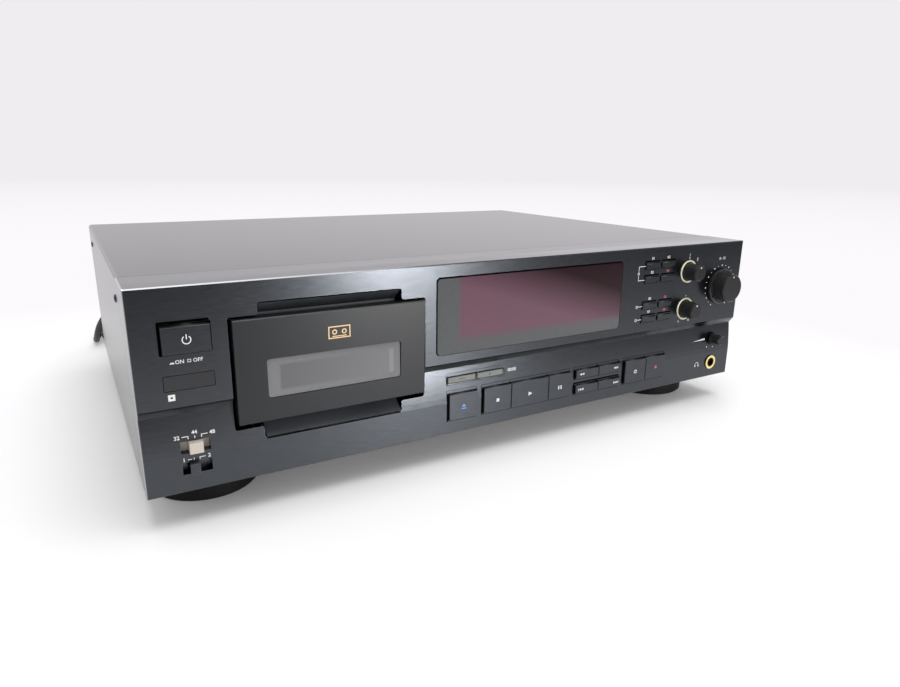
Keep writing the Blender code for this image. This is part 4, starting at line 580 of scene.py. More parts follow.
# %% Make the windows' finishes
DISPLAY_IOR = 1.35
GREY_STRIP_WIDTH, GREY_STRIP_HEIGHT, FILTER_SOFT, FILTER_OVERRUN = 0.0150, 0.0085, 0.0022, 0.01
FILTER_RED, FILTER_PAINTED_REFLECTION = (0.172, 0.091, 0.120), (0.026, 0.012, 0.015)
BORDER_WIDTH, BORDER_HEIGHT, BORDER_SOFT = 0.0065, 0.0035, 0.0008
CLEAR_LEFT, CLEAR_RIGHT = (0.130, 0.131, 0.135), (0.215, 0.215, 0.222)
LIGHT_BAR_START, LIGHT_BAR_END, LIGHT_BAR = 0.0068, 0.0040, (0.26, 0.26, 0.265)
display_low, display_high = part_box("display_window")
display_pane, tree, shader = window("display pane", (0.118, 0.121, 0.123), 0.07)
shader.inputs["IOR"].default_value = DISPLAY_IOR
red_zone = zone(
    tree, display_low.x + GREY_STRIP_WIDTH, display_low.z + GREY_STRIP_HEIGHT,
    display_high.x + FILTER_OVERRUN, display_high.z + FILTER_OVERRUN, FILTER_SOFT,
)
place = places(tree)
rightwards = range_node(tree, place["X"], display_low.x, display_high.x)
upwards = range_node(tree, place["Z"], display_low.z, display_high.z)
# Towards the upper right the red gives way to a painted reflection of the dim room.
painted_reflection_share = range_node(tree, sum_node(tree, "ADD", rightwards, upwards), 1.0, 1.6)
recoloured(tree, shader, red_zone, mixed_colour(tree, painted_reflection_share, FILTER_RED, FILTER_PAINTED_REFLECTION))
door_low, door_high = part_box("door_window")
door_pane, tree, shader = window("door pane", (0.20, 0.20, 0.205), 0.16)
clear_middle = zone(
    tree, door_low.x + BORDER_WIDTH, door_low.z + BORDER_HEIGHT,
    door_high.x - BORDER_WIDTH, door_high.z - BORDER_HEIGHT, BORDER_SOFT,
)
brighter = range_node(tree, places(tree)["X"], door_low.x, door_high.x)
recoloured(tree, shader, clear_middle, mixed_colour(tree, brighter, CLEAR_LEFT, CLEAR_RIGHT))
light_bar = zone(
    tree, door_high.x - LIGHT_BAR_START, door_low.z + BORDER_HEIGHT,
    door_high.x - LIGHT_BAR_END, door_high.z - BORDER_HEIGHT,
)
recoloured(tree, shader, light_bar, LIGHT_BAR)
remote_pane, _, _ = window("remote pane", (0.022, 0.023, 0.026), 0.18)
tube_glass, _, _ = window("tube glass", (0.05, 0.06, 0.06), 0.08)
print("window finishes made")

# %% [markdown]
# ## Pieces of two materials
#
# A plug is moulded rubber with bare metal blades, and a socket block is black plastic with plated
# barrels. Each is one solid here, so its finish holds both: a mask from the place on the piece
# switches colour, gloss and metal.

# %% Mix metal into a finish by place
BLADES_FROM_LEAD = 0.0564


def metal_where(made, mask_maker, colour=(0.75, 0.73, 0.68), roughness=0.25):
    """Turns the finish to bare metal where the mask is 1."""
    tree, shader = made.node_tree, shader_of(made)
    mask = mask_maker(tree)
    recoloured(tree, shader, mask, colour)
    filled(tree, shader, {"Metallic": mask})
    reshined(tree, shader, mask, roughness)
    return made


def beyond(start, direction):
    """A mask maker: 1 past a plane through start, on the side that direction points to."""

    def make(tree):
        along = vector_node(tree, "DOT_PRODUCT", object_place(tree), direction)
        return sum_node(tree, "GREATER_THAN", along, start.dot(direction))

    return make


plug_finish = metal_where(
    finish("plug rubber", (0.013, 0.013, 0.013), 0.40, fineness=2000.0),
    beyond(coil_end + last * BLADES_FROM_LEAD, last),
)
socket_finish = metal_where(
    finish("socket block", (0.02, 0.02, 0.02), 0.4), beyond(Vector((0, BACK, 0)), Vector((0, 1, 0))),
)
print("plug and sockets show bare metal in their places")

# %% [markdown]
# ## Dressing the solid pieces
#
# Now each solid piece gets its finish. Grouping the names by finish keeps the list readable,
# and the count at the end shows that no piece was forgotten.

# %% Give every solid its finish
dressed = {
    brushed_black: ["front_fascia"],
    satin_paint: ["top_cover", "rear_panel"],
    zinc_plate: ["bottom_chassis", "mechanism_plate", "pinch_arm", "loading_motor"],
    foot_rubber: ["front_left_foot", "front_right_foot", "rear_left_foot", "rear_right_foot"],
    lead_rubber: ["cord_gland", "mains_cord", "cord_coil"],
    plug_finish: ["mains_plug"],
    socket_finish: ["rear_sockets"],
    display_pane: ["display_window"],
    tube_glass: ["display_tube"],
    remote_pane: ["remote_window"],
    door_pane: ["door_window"],
    door_black: ["tray_door"],
    tray_black: ["cassette_tray"],
    key_grey: ["counter_mode_key", "counter_reset_key"],
    knob_black: ["level_knob", "input_knob", "balance_knob", "phones_knob"],
    lever_cream: ["sampling_lever"],
    gilt: ["headphone_socket"],
    turned_metal: ["drum_base", "head_drum", "capstan"],
    white_acetal: ["loading_gear", "supply_reel", "takeup_reel"],
    roller_rubber: ["pinch_roller"],
    board_green: ["control_board", "main_board"],
    core_varnish: ["power_transformer"],
}
named = {name for names in dressed.values() for name in names}
dressed[key_black] = [name for name in nodes if name not in named and name.endswith(("_key", "_lever"))]
for material, names in dressed.items():
    for name in names:
        nodes[name].material_slots[0].material = material
print(f"{sum(len(names) for names in dressed.values())} of {len(nodes)} solids have a finish")
mains_lead.data.materials.append(lead_rubber)

# %% [markdown]
# ## Printed marks
#
# Silk-screen ink is a layer far thinner than paper. Each mark is a flat mesh of its own outline,
# and every corner of it is dropped on to the surface behind it with a ray, a few hundredths of a
# millimetre proud, so it follows the step and the sweep of the front. The marks are plain:
# numbers, ticks, dots and the usual transport signs. Their sizes are given in millimetres.

# %% Draw flat shapes
MM = 0.001
CAPITAL_SHARE, BOLDER_SHARE = 0.72, 0.03  # of a letter's height


def bar(left, low, right, high):
    """A rectangle by its edges."""
    return [(left, low), (right, low), (right, high), (left, high)], [(0, 1, 2, 3)]


def bars(x, z, *edges):
    """Rectangles by their left, lower, right and upper edges in millimetres from a place."""
    return [bar(x + a * MM, z + b * MM, x + c * MM, z + d * MM) for a, b, c, d in edges]


def shape(x, z, *points):
    """One face through points in millimetres from a place."""
    return [(x + across * MM, z + upwards * MM) for across, upwards in points], [tuple(range(len(points)))]


def ring(x, z, outer_radius, inner_radius, start=0.0, end=360.0, steps=28):
    """A ring or an arc of it, counted from the right and turning upwards."""
    corners, faces = [], []
    for k in range(steps + 1):
        angle = math.radians(start + (end - start) * k / steps)
        for radius in (outer_radius, inner_radius):
            corners.append((x + radius * math.cos(angle), z + radius * math.sin(angle)))
    for k in range(steps):
        faces.append((2 * k, 2 * k + 2, 2 * k + 3, 2 * k + 1))
    return corners, faces


def dot(x, z, radius, steps=16):
    """A disc."""
    turns = [2 * math.pi * k / steps for k in range(steps)]
    points = [(x + radius * math.cos(turn), z + radius * math.sin(turn)) for turn in turns]
    return points, [tuple(range(steps))]


def frame_of(x, z, left, low, right, high, width):
    """The outline of a rectangle, drawn with four bars, in millimetres from a place."""
    return bars(
        x, z, (left, low, right, low + width), (left, high - width, right, high),
        (left, low + width, left + width, high - width), (right - width, low + width, right, high - width),
    )


def sign(text, x, z, height):
    """Figures or letters, centred at a place, from Blender's own font."""
    curve = bpy.data.curves.new("sign", "FONT")
    curve.body = text
    curve.size = height / CAPITAL_SHARE
    curve.offset = height * BOLDER_SHARE
    curve.align_x, curve.align_y = "CENTER", "CENTER"
    curve.resolution_u = 3
    letters = bpy.data.objects.new("sign", curve)
    mesh = bpy.data.meshes.new_from_object(letters)
    corners = [(x + vertex.co.x, z + vertex.co.y) for vertex in mesh.vertices]
    faces = [tuple(face.vertices) for face in mesh.polygons]
    bpy.data.objects.remove(letters)
    bpy.data.curves.remove(curve)
    bpy.data.meshes.remove(mesh)
    return corners, faces


# %% Print shapes on a piece
INK_LIFT = 0.00005
RAY_START = 0.1
GAP_RADIUS = 0.0003
CORNER_STEPS, SIDE_STEPS = 5, 6
surfaces = {}


def surface_at(node, x, z):
    """The front surface of a piece at a place, found with a ray from in front."""
    if node not in surfaces:
        mesh = nodes[node].data
        surfaces[node] = BVHTree.FromPolygons(
            [vertex.co for vertex in mesh.vertices], [tuple(face.vertices) for face in mesh.polygons]
        )
    hit = surfaces[node].ray_cast(Vector((x, FRONT - RAY_START, z)), Vector((0, 1, 0)))[0]
    return hit.y if hit else FRONT


def mesh_of(made, name, *materials):
    """Ends a bmesh and gives its mesh."""
    mesh = bpy.data.meshes.new(name)
    made.to_mesh(mesh)
    made.free()
    for material in materials:
        mesh.materials.append(material)
    return mesh


def printed(name, carrier, body, ink, shapes):
    """One mesh of all the shapes, laid on the carrier's front."""
    made = bmesh.new()
    for corners, faces in shapes:
        placed_corners = [made.verts.new((x, surface_at(carrier, x, z) - INK_LIFT, z)) for x, z in corners]
        for face in faces:
            made.faces.new([placed_corners[k] for k in face])
    return laid(made, name, body, ink)


def laid(made, name, body, ink):
    """Turns flat faces to the front and makes an object of them."""
    bmesh.ops.recalc_face_normals(made, faces=made.faces)
    for face in made.faces:
        face.normal_update()
        if face.normal.y > 0:
            face.normal_flip()
    mark = added(name, mesh_of(made, name, ink))
    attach(mark, body)
    return mark


def outline_points(left, low, right, high, radius):
    """Points round a rectangle with round corners."""
    corners = (
        (right - radius, low + radius, -90), (right - radius, high - radius, 0),
        (left + radius, high - radius, 90), (left + radius, low + radius, 180),
    )
    arcs = []
    for x, z, start in corners:
        turns = [math.radians(start + 90 * step / CORNER_STEPS) for step in range(CORNER_STEPS + 1)]
        arcs.append([(x + radius * math.cos(turn), z + radius * math.sin(turn)) for turn in turns])
    points = []
    for arc, following in zip(arcs, arcs[1:] + arcs[:1]):
        (x, z), (next_x, next_z) = arc[-1], following[0]
        shares = [step / SIDE_STEPS for step in range(1, SIDE_STEPS)]
        points += arc + [(x + (next_x - x) * share, z + (next_z - z) * share) for share in shares]
    return points


def painted_gap_shade(node, left, low, right, high, radius=GAP_RADIUS):
    """A ring of painted shade round a piece, with its own width at each side in millimetres."""
    box_low, box_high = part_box(node)
    inner = outline_points(box_low.x, box_low.z, box_high.x, box_high.z, radius)
    outer = outline_points(
        box_low.x - left * MM, box_low.z - low * MM, box_high.x + right * MM, box_high.z + high * MM,
        radius + GAP_RADIUS,
    )
    made = bmesh.new()
    rings = []
    for (x_in, z_in), (x_out, z_out) in zip(inner, outer):
        depth = surface_at("front_fascia", x_out, z_out) - INK_LIFT / 2
        rings.append((made.verts.new((x_out, depth, z_out)), made.verts.new((x_in, depth, z_in))))
    for here, following in zip(rings, rings[1:] + rings[:1]):
        made.faces.new((here[0], following[0], following[1], here[1]))
    return laid(made, node + "_gap_shade", "deck", gap_shade)


# %% Mix the inks


def ink(name, colour, roughness=0.5, variation=0.1, metallic=0.0):
    """A flat printing ink."""
    return finish(
        name, colour, roughness, fineness=5000.0, variation=variation, relief=0.000005,
        metallic=metallic, worn=0.0, dust=0.0,
    )


def on_front(name, shapes):
    """White marks on the front."""
    return printed(name, "front_fascia", "deck", white_ink, shapes)


# Near black, for the painted shade of the gaps.
gap_shade = finish("gap shade", (0.0015, 0.0015, 0.0015), 0.8, relief=0.000005, worn=0.0, dust=0.0, ior=1.05)
white_ink = ink("white ink", (0.80, 0.80, 0.78), variation=0.06)
red_ink = ink("red ink", (0.62, 0.06, 0.08))
blue_ink = ink("blue ink", (0.16, 0.36, 0.86))
gold_ink = ink("gold ink", (0.72, 0.50, 0.26), roughness=0.4, metallic=0.4)
dark_ink = ink("dark ink", (0.03, 0.03, 0.03))
print("five inks, and the black of the gaps")

# %% [markdown]
# ### Gaps round the keys
#
# A key needs room to move, and from above that room shows as a dark line, wider at the top and
# at the left than below. The solid pieces have this gap too. A thin black ring of painted shade
# on the front round each key and round the display widens that shade to what the eye sees, and
# one thin bar of painted shade does the same under the cassette tray.

# %% Darken the gaps
TRAY_GAP_DROP, TRAY_GAP_HEIGHT = 0.85, 0.7  # in millimetres
PANE_RADIUS = 0.0022
TOUCHES_ITS_NEIGHBOUR = ("play", "pause", "record_key", "forward", "next", "reset", "erase", "renumber")
# Each key, the power key, the display and the remote window get a ring of painted shade.
for name in dressed[key_black] + ["counter_mode_key", "counter_reset_key"]:
    if name.endswith("_key"):
        joined = any(word in name for word in TOUCHES_ITS_NEIGHBOUR)
        painted_gap_shade(name, 0.15 if joined else 0.9, 0.2, 0.2, 1.1)
painted_gap_shade("power_key", 1.2, 0.2, 0.2, 1.3)
painted_gap_shade("display_window", 1.0, 0.1, 0.1, 1.0, PANE_RADIUS)
painted_gap_shade("remote_window", 0.3, 0.2, 0.2, 0.3)
tray_low, tray_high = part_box("cassette_tray")
tray_width = (tray_high.x - tray_low.x) / MM
# A thin bar of painted shade lies under the cassette tray.
printed("tray_gap_shade", "front_fascia", "deck", gap_shade, bars(
    tray_low.x, tray_low.z, (0, -TRAY_GAP_DROP - TRAY_GAP_HEIGHT, tray_width, -TRAY_GAP_DROP),
))
print("gaps darkened")

# %% [markdown]
# ### Marks of the left column
#
# The power key carries the usual power sign. Under it stand the words for in and out, each with a
# small key drawn in or out. The slide switches have plain numbers and bracket lines that lead to
# their positions.

# %% Print the left column
x, _, z = middle_of("power_key")
printed("power_sign", "power_key", "power_key", white_ink, [
    ring(x, z, 0.0022, 0.0017, 125, 415), *bars(x, z, (-0.25, 0.2, 0.25, 2.7)),
])
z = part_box("power_key")[0].z - 0.0038
on_front("power_words", [
    shape(x, z, (-8.2, -0.7), (-5.9, -0.7), (-6.3, 0.1), (-7.8, 0.1)), sign("ON", x - 0.0036, z, 0.0019),
    *frame_of(x, z, -0.1, -0.7, 1.6, 0.9, 0.3), sign("OFF", x + 0.0048, z, 0.0019),
])
x, _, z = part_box("remote_window")[0]
on_front("remote_mark", frame_of(x, z, 1.3, -5.0, 4.5, -1.8, 1.1))

# %% Print the switches' numbers
SWITCH_SIGN = 0.0020
x, z = LEFT + 0.025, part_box("sampling_lever")[1].z - 0.0015
on_front("sampling_marks", [
    *bars(
        x, z, (-0.2, 1.0, 0.2, 2.3), (-3.4, 1.0, -3.0, 2.6), (-6.2, 2.2, -3.4, 2.6),
        (3.0, 1.0, 3.4, 2.6), (3.4, 2.2, 6.2, 2.6),
    ),
    sign("32", x - 0.0085, z + 0.0023, SWITCH_SIGN), sign("44", x, z + 0.0040, SWITCH_SIGN),
    sign("48", x + 0.0085, z + 0.0026, SWITCH_SIGN),
])
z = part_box("mode_lever")[1].z - 0.0015
on_front("mode_marks", [
    *bars(x, z, (-1.6, 0.8, -1.2, 2.1), (-4.4, 1.2, -2.4, 1.6), (1.2, 0.6, 1.6, 2.0), (1.6, 1.6, 4.2, 2.0)),
    sign("1", x - 0.0062, z + 0.0014, SWITCH_SIGN), sign("2", x + 0.0060, z + 0.0018, SWITCH_SIGN),
])
print("left column printed")

# %% [markdown]
# ### Marks on the keys
#
# The transport signs are the ones that every recorder shares: a square stops, a triangle plays,
# two bars pause, double triangles wind, and a triangle over a line opens the tray. Each is printed
# on its own key and travels with it.

# %% Print the transport signs
LEFT_SHARE, RIGHT_SHARE = 0.24, 0.80


def arrow(x, z, width, half_height):
    """A triangle whose tip points right, or left where the width is negative; in millimetres."""
    return shape(x, z, (-width / 2, -half_height), (width / 2, 0), (-width / 2, half_height))


def key_sign(node, ink, drawn, drop=0.0008, share=0.5):
    """Draws on a key; drawn gets the sign's place, at this share of the width from the left."""
    left_end, right_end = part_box(node)
    place = left_end.x + (right_end.x - left_end.x) * share, middle_of(node).z - drop
    printed(node.replace("_key", "_sign"), node, node, ink, drawn(*place))


def wind_sign(way, skips):
    """A drawer of two arrows that point one way, with a bar at their tip where the key skips."""

    def drawn(x, z):
        end = sorted((way * 2.1, way * 2.6))
        arrows = [arrow(x + side * way * MM, z, way * 2.0, 0.9) for side in (-1, 1)]
        return arrows + (bars(x, z, (end[0], -0.9, end[1], 0.9)) if skips else [])

    return drawn


key_sign("open_close_key", blue_ink, lambda x, z: [
    shape(x, z, (-1.7, 0.2), (1.7, 0.2), (0, 2.1)), *bars(x, z, (-1.7, -1.2, 1.7, -0.6)),
])
key_sign("stop_key", white_ink, lambda x, z: bars(x, z, (-1.1, -1.1, 1.1, 1.1)))
key_sign("play_key", white_ink, lambda x, z: [arrow(x, z, 3.0, 1.4)])
key_sign("pause_key", white_ink, lambda x, z: bars(x, z, (-1.5, -1.3, -0.5, 1.3), (0.5, -1.3, 1.5, 1.3)))
for node, way in (("rewind_key", -1), ("forward_key", 1), ("previous_key", -1), ("next_key", 1)):
    share = LEFT_SHARE if way < 0 else RIGHT_SHARE
    key_sign(node, white_ink, wind_sign(way, node in ("previous_key", "next_key")), 0.0, share)
key_sign("record_mute_key", white_ink, lambda x, z: [ring(x, z, 0.0014, 0.0008)], drop=0.0004)
key_sign("record_key", red_ink, lambda x, z: [dot(x, z, 0.0012)], drop=0.0)
key_sign("counter_mode_key", dark_ink, lambda x, z: [dot(x + k * 0.0015, z, 0.0004) for k in (-1, 0, 1)], 0.0)
key_sign("counter_reset_key", dark_ink, lambda x, z: [sign("0", x, z, 0.0018)], drop=0.0)
figures_x, figures_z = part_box("counter_reset_key")[1].x + 0.0075, middle_of("counter_reset_key").z
on_front("counter_figures", [sign("00:00", figures_x, figures_z, 0.0021)])
print("keys printed")

# %% [markdown]
# ### Marks of the identity keys
#
# Eight small keys stand in two columns. A plain number over each tells them apart, red for the
# keys in the right column that erase. Bracket lines gather the rows at the left.

# %% Number the identity keys
NUMBER_RISE, NUMBER_SIZE = 0.0024, 0.0019
rows = (
    ("start_auto", "start_renumber"), ("start_write", "start_erase"), ("skip_write", "skip_erase"),
    ("end_write", "end_erase"),
)
whites, reds = [], []
for k, row in enumerate(rows):
    for side, name in enumerate(row):
        x, z = middle_of(f"{name}_key").x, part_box(f"{name}_key")[1].z + NUMBER_RISE
        (reds if side and k else whites).append(sign(f"0{2 * k + side + 1}", x, z, NUMBER_SIZE))
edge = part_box("start_auto_key")[0].x + 0.001
levels = [middle_of(f"{left_key}_key").z for left_key, _ in rows]
half_way, half_rise = (levels[0] + levels[1]) / 2, (levels[0] - levels[1]) / 2 / MM
for level in (-half_rise, half_rise):
    whites += bars(edge, half_way, (-7.5, level - 0.2, -0.8, level + 0.2))
whites += bars(edge, half_way, (-7.5, 1.4, -7.1, half_rise), (-7.5, -half_rise, -7.1, -1.4))
whites += [ring(edge - 0.0073, half_way, 0.0010, 0.0006)]
for level in levels[2:]:
    whites += [*bars(edge, level, (-5.0, -0.2, -0.8, 0.2)), ring(edge - 0.0064, level, 0.0010, 0.0006)]
on_front("identity_numbers", whites)
printed("identity_numbers_red", "front_fascia", "deck", red_ink, reds)
print("identity keys numbered")

# %% [markdown]
# ### Dials
#
# The record level knob has a scale of dots from 0 to 10, with smaller ones for the halves. The
# input knob has three numbered positions and the balance knob runs from left to right. A dot on
# each knob's face points to the value. Two thin cream rings lie on the front behind the smaller
# knobs, and a shiny black rim goes round the large one.

# %% Print the dials
SCALE_RADIUS, INPUT_RADIUS, TICK_RADIUS, BALANCE_RADIUS = 0.0159, 0.0120, 0.0098, 0.0105
level, chosen_input, balance, phones = (
    middle_of(f"{name}_knob") for name in ("level", "input", "balance", "phones")
)


def around(middle, radius, clock):
    """A place on a circle, by the hour hand's direction."""
    angle = math.radians(90 - 30 * clock)
    return middle.x + radius * math.cos(angle), middle.z + radius * math.sin(angle)


scale = [
    dot(*around(level, SCALE_RADIUS, 7 + step / 2), 0.00032 if step % 2 else 0.00055) for step in range(21)
]
scale += [sign("0 - 10", level.x - 0.0006, level.z + 0.0212, 0.0020)]
scale += bars(*around(chosen_input, TICK_RADIUS, 12), (-0.3, -0.6, 0.3, 0.6))
scale += [
    sign(text, *around(chosen_input, INPUT_RADIUS, hour), 0.0020)
    for text, hour in (("1", 12), ("2", 1.5), ("3", 3))
]
scale += bars(balance.x, balance.z, (-0.2, 9.0, 0.2, 10.2))
scale += [sign(text, *around(balance, BALANCE_RADIUS, hour), 0.0017) for text, hour in (("L", 7), ("R", 5))]
on_front("dial_marks", scale)
on_front("phones_marks", [
    dot(phones.x - 0.0060, phones.z - 0.0062, 0.0005), dot(phones.x + 0.0008, phones.z - 0.0068, 0.0005),
    shape(phones.x, phones.z, (-22.0, -0.4), (-8.5, -0.4), (-8.5, 1.0)),
])
socket = middle_of("headphone_socket")
on_front("headphones_sign", [
    ring(socket.x - 0.0150, socket.z - 0.0004, 0.0021, 0.0017, 0, 180),
    *bars(socket.x, socket.z, (-17.3, -1.8, -16.3, -0.2), (-13.7, -1.8, -12.7, -0.2)),
])
for node, reach in (("level_knob", 0.0084), ("input_knob", 0.0040), ("balance_knob", 0.0040)):
    place = middle_of(node)
    printed(node.replace("_knob", "_pointer"), node, node, white_ink, [dot(place.x, place.z + reach, 0.0006)])

# %% Turn the cream rings
WELD = 0.000001
SHARP_FROM = 35


def facing_at(place, direction):
    """The matrix of an object at a place, with its Z along a direction."""
    return Matrix.Translation(place) @ Vector(direction).to_track_quat("Z", "Y").to_matrix().to_4x4()


def turned(name, profile, place, direction, finish_of, body, sides=64):
    """A closed ring turned about an axis; the profile holds points of (radius, height) in millimetres."""
    made = bmesh.new()
    points = [made.verts.new((radius * MM, 0, height * MM)) for radius, height in profile]
    edges = [made.edges.new(pair) for pair in zip(points, points[1:] + points[:1])]
    bmesh.ops.spin(
        made, geom=points + edges, cent=(0, 0, 0), axis=(0, 0, 1), angle=2 * math.pi, steps=sides,
    )
    bmesh.ops.remove_doubles(made, verts=made.verts, dist=WELD)
    bmesh.ops.recalc_face_normals(made, faces=made.faces)
    mesh = mesh_of(made, name, finish_of)
    mesh.shade_smooth()
    mesh.set_sharp_from_angle(angle=math.radians(SHARP_FROM))
    piece = added(name, mesh)
    piece.matrix_world = facing_at(place, direction)
    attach(piece, body)
    return piece


RING_PROFILE = ((7.0, 0.05), (8.2, 0.05), (8.2, 0.5), (7.9, 0.7), (7.3, 0.7), (7.0, 0.5))
RIM_PROFILE = ((12.2, 0.02), (13.1, 0.02), (13.1, 0.3), (12.9, 0.5), (12.4, 0.5), (12.2, 0.3))
RIM_AHEAD = 0.0020
ring_cream = finish(
    "ring cream", (0.78, 0.74, 0.52), 0.4, fineness=3000.0, variation=0.06, worn=0.0, dust=0.0,
)
for name, place in (("input_ring", chosen_input), ("balance_ring", balance)):
    turned(name, RING_PROFILE, (place.x, FRONT, place.z), (0, -1, 0), ring_cream, "deck")
rim_place = (level.x, FRONT - RIM_AHEAD, level.z)
turned("level_rim", RIM_PROFILE, rim_place, (0, -1, 0), rim_black, "level_knob")
print("two cream rings and the level knob's rim")

# %% [markdown]
# ### The mark on the door
#
# A small gold picture of a cassette stands over the door's window: an outline with two reels. It
# is generic, and only tells where the tape goes in.

# %% Print the cassette picture
x, z = middle_of("tray_door").x + 0.0015, door_high.z + 0.0102
printed("cassette_picture", "tray_door", "tray", gold_ink, [
    *frame_of(x, z, -6.2, -3.4, 6.2, 3.4, 0.6),
    ring(x - 0.0027, z + 0.0002, 0.0014, 0.0008), ring(x + 0.0027, z + 0.0002, 0.0014, 0.0008),
    *bars(x, z, (-4.0, -2.4, 4.0, -1.9)),
])

# %% [markdown]
# ## Screws
#
# A cover is held by cross-head screws: one at each side near the front, one further back, and
# a row along the back. A screw head is a shallow dome with a cross cut into it, so it is turned
# like the rings and then cut with a Boolean.

# %% Make one screw head and place its copies
HEAD_PROFILE = ((0.0, 0.05), (2.2, 0.05), (2.2, 0.3), (1.8, 0.7), (1.0, 0.9), (0.0, 0.95))
CROSS_LENGTH, CROSS_WIDTH, CROSS_DEPTH, CROSS_MIDDLE = 0.0022, 0.0005, 0.0009, 0.0010
SIDE_DROP, BACK_DROP = 0.0127, 0.012
screw_black = finish("screw black", (0.03, 0.03, 0.03), 0.3, fineness=2500.0, metallic=0.6, worn=0.5)


def screw(name, place, direction, body="deck"):
    """A cross-head screw on a face, looking along its direction."""
    head = turned(name, HEAD_PROFILE, place, direction, screw_black, body, sides=24)
    cross = bmesh.new()
    for width, height in ((CROSS_LENGTH, CROSS_WIDTH), (CROSS_WIDTH, CROSS_LENGTH)):
        size = Matrix.Diagonal((width, height, CROSS_DEPTH, 1))
        bmesh.ops.create_cube(cross, size=1.0, matrix=Matrix.Translation((0, 0, CROSS_MIDDLE)) @ size)
    cutter = added(name + "_cross", mesh_of(cross, name + "_cross"))
    cutter.matrix_world = head.matrix_world.copy()
    cut = head.modifiers.new("cross", "BOOLEAN")
    cut.operation, cut.solver, cut.object, cut.use_self = "DIFFERENCE", "EXACT", cutter, True
    bpy.context.view_layer.update()
    held = bpy.context.evaluated_depsgraph_get()
    cut_mesh = bpy.data.meshes.new_from_object(head.evaluated_get(held))
    head.modifiers.clear()
    head.data = cut_mesh
    bpy.data.objects.remove(cutter)
    return head


for side, x, way in (("left", LEFT, -1), ("right", RIGHT, 1)):
    for k, y in enumerate((FRONT + 0.0475, FRONT + 0.290)):
        screw(f"{side}_screw_{k}", (x, y, TOP - SIDE_DROP), (way, 0, 0))
for k, x in enumerate((LEFT + 0.02, LEFT + 0.14, 0.0, RIGHT - 0.14, RIGHT - 0.02)):
    screw(f"back_screw_{k}", (x, BACK, TOP - BACK_DROP), (0, 1, 0))
print("nine screws")

# %% [markdown]
# ## Floor and light
#
# A white sheet under and behind the deck is the usual studio floor. Pictures of black things live
# from what the thing mirrors, so the room is white for mirrored rays too, while a softer level of
# white lights the surfaces. In front of the deck the sheet ends and the room is dim. Only mirrored
# rays meet that dark, and it is what keeps the front black. One large lamp above gives the soft
# shadow, and one small lamp to the right makes the upright band on the brushed front.

# %% Lay the floor
PALE = 1.0
SHEET_END, SHEET_FADE, DIM_ROOM = -0.34, 0.40, 0.13
BACKDROP, BACKDROP_LEVEL = (0.995, 0.968, 1.0, 1.0), 0.875
FLOOR_HALF = 6
PAPER, PAPER_LIGHT, PAPER_ROUGHNESS, PAPER_GRAINS = (0.96, 0.96, 0.97), (0.98, 0.98, 0.98), 0.6, 60.0
SHADOW_REACH, SHADOW_GLOW = 0.30, 0.08
NEAR, FAR, NEAR_LEVEL = 1.2, 5.5, 0.98
corners = [(x * FLOOR_HALF, y * FLOOR_HALF, 0) for x, y in ((-1, -1), (1, -1), (1, 1), (-1, 1))]
floor_mesh = bpy.data.meshes.new("floor")
floor_mesh.from_pydata(corners, [], [(0, 1, 2, 3)])
floor = added("floor", floor_mesh)


def seen_share(tree):
    """1 for rays that show the background: those of the camera, of gloss and of glass."""
    path = node_of(tree, "LightPath", {})
    mirrored = sum_node(tree, "MAXIMUM", path.outputs["Is Glossy Ray"], path.outputs["Is Transmission Ray"])
    return sum_node(tree, "MAXIMUM", path.outputs["Is Camera Ray"], mirrored)


floor_white = bpy.data.materials.new("floor white")
floor_white.use_nodes = True
tree, shader = floor_white.node_tree, shader_of(floor_white)
tone = node_of(tree, "Group", {"Grains per metre": PAPER_GRAINS}, node_tree=speckle).outputs["Tone"]
paper = mixed_colour(tree, tone, PAPER, PAPER_LIGHT)
filled(tree, shader, {"Base Color": paper, "Roughness": PAPER_ROUGHNESS, "Specular IOR Level": 0.0})
place = places(tree)
beside = sum_node(tree, "SUBTRACT", sum_node(tree, "ABSOLUTE", place["X"]), RIGHT)
before = sum_node(tree, "SUBTRACT", sum_node(tree, "ABSOLUTE", place["Y"]), BACK)
far = range_node(tree, sum_node(tree, "MAXIMUM", beside, before), 0.0, SHADOW_REACH, SHADOW_GLOW, PALE)
mirrored = node_of(tree, "LightPath", {}).outputs["Is Glossy Ray"]
beyond_sheet = product(tree, range_node(tree, place["Y"], SHEET_END, SHEET_END - SHEET_FADE), mirrored)
away = vector_node(tree, "LENGTH", object_place(tree))
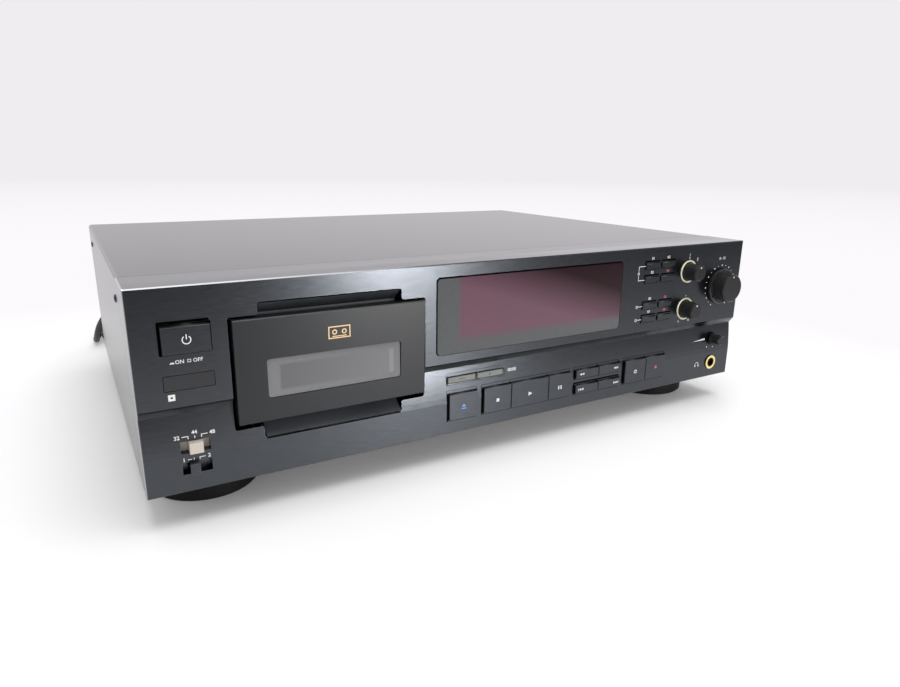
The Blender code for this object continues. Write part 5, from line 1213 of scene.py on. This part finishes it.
level_seen = range_node(tree, away, NEAR, FAR, NEAR_LEVEL, BACKDROP_LEVEL)
dimmed = product(tree, level_seen, range_node(tree, beyond_sheet, 0.0, 1.0, PALE, DIM_ROOM))
glow = node_of(tree, "Emission", {"Color": BACKDROP, "Strength": dimmed}).outputs[0]
parts = {0: product(tree, far, seen_share(tree)), 1: shader.outputs[0], 2: glow}
blend = node_of(tree, "MixShader", parts).outputs[0]
filled(tree, tree.nodes["Material Output"], {"Surface": blend})
floor_mesh.materials.append(floor_white)

# %% Light the room
LIT_LEVEL = 0.78
CORNER_LEVEL = 0.87
world = bpy.data.worlds.new("white room")
bpy.context.scene.world = world
world.use_nodes = True
tree = world.node_tree
ray = apart(tree, node_of(tree, "TexCoord", {}).outputs["Generated"])
room = range_node(tree, ray["Y"], -0.6, 0.1, DIM_ROOM, PALE)
to_right = range_node(tree, ray["X"], 0.1, 0.70, CORNER_LEVEL, PALE)
to_left = range_node(tree, ray["X"], 0.03, -0.20, CORNER_LEVEL, PALE)
room = product(tree, room, sum_node(tree, "MAXIMUM", to_right, to_left))
to_camera = node_of(tree, "LightPath", {}).outputs["Is Camera Ray"]
shown, seen = mixed_value(tree, to_camera, room, BACKDROP_LEVEL), seen_share(tree)
filled(tree, tree.nodes["Background"], {
    "Color": mixed_colour(tree, seen, (1.0, 1.0, 1.0), BACKDROP[:3]),
    "Strength": mixed_value(tree, seen, LIT_LEVEL, shown),
})


def lamp(name, place, aim, width, height, power):
    """An area lamp that looks at a place."""
    light = bpy.data.lights.new(name, "AREA")
    light.shape = "RECTANGLE"
    light.energy, light.size, light.size_y = power, width, height
    made = added(name, light)
    made.matrix_world = facing_at(place, Vector(place) - Vector(aim))
    return made


lamp("ceiling_lamp", (0.1, -0.5, 2.2), (0, 0, 0), 1.6, 1.6, 26)
strip = lamp("strip_lamp", (0.474, -1.34, 0.31), (-0.078, -0.161, 0.08), 0.22, 0.3, 28)
strip.visible_diffuse = False
bpy.context.scene.view_settings.view_transform = "Standard"
print("a soft ceiling, one strip lamp, a white room")
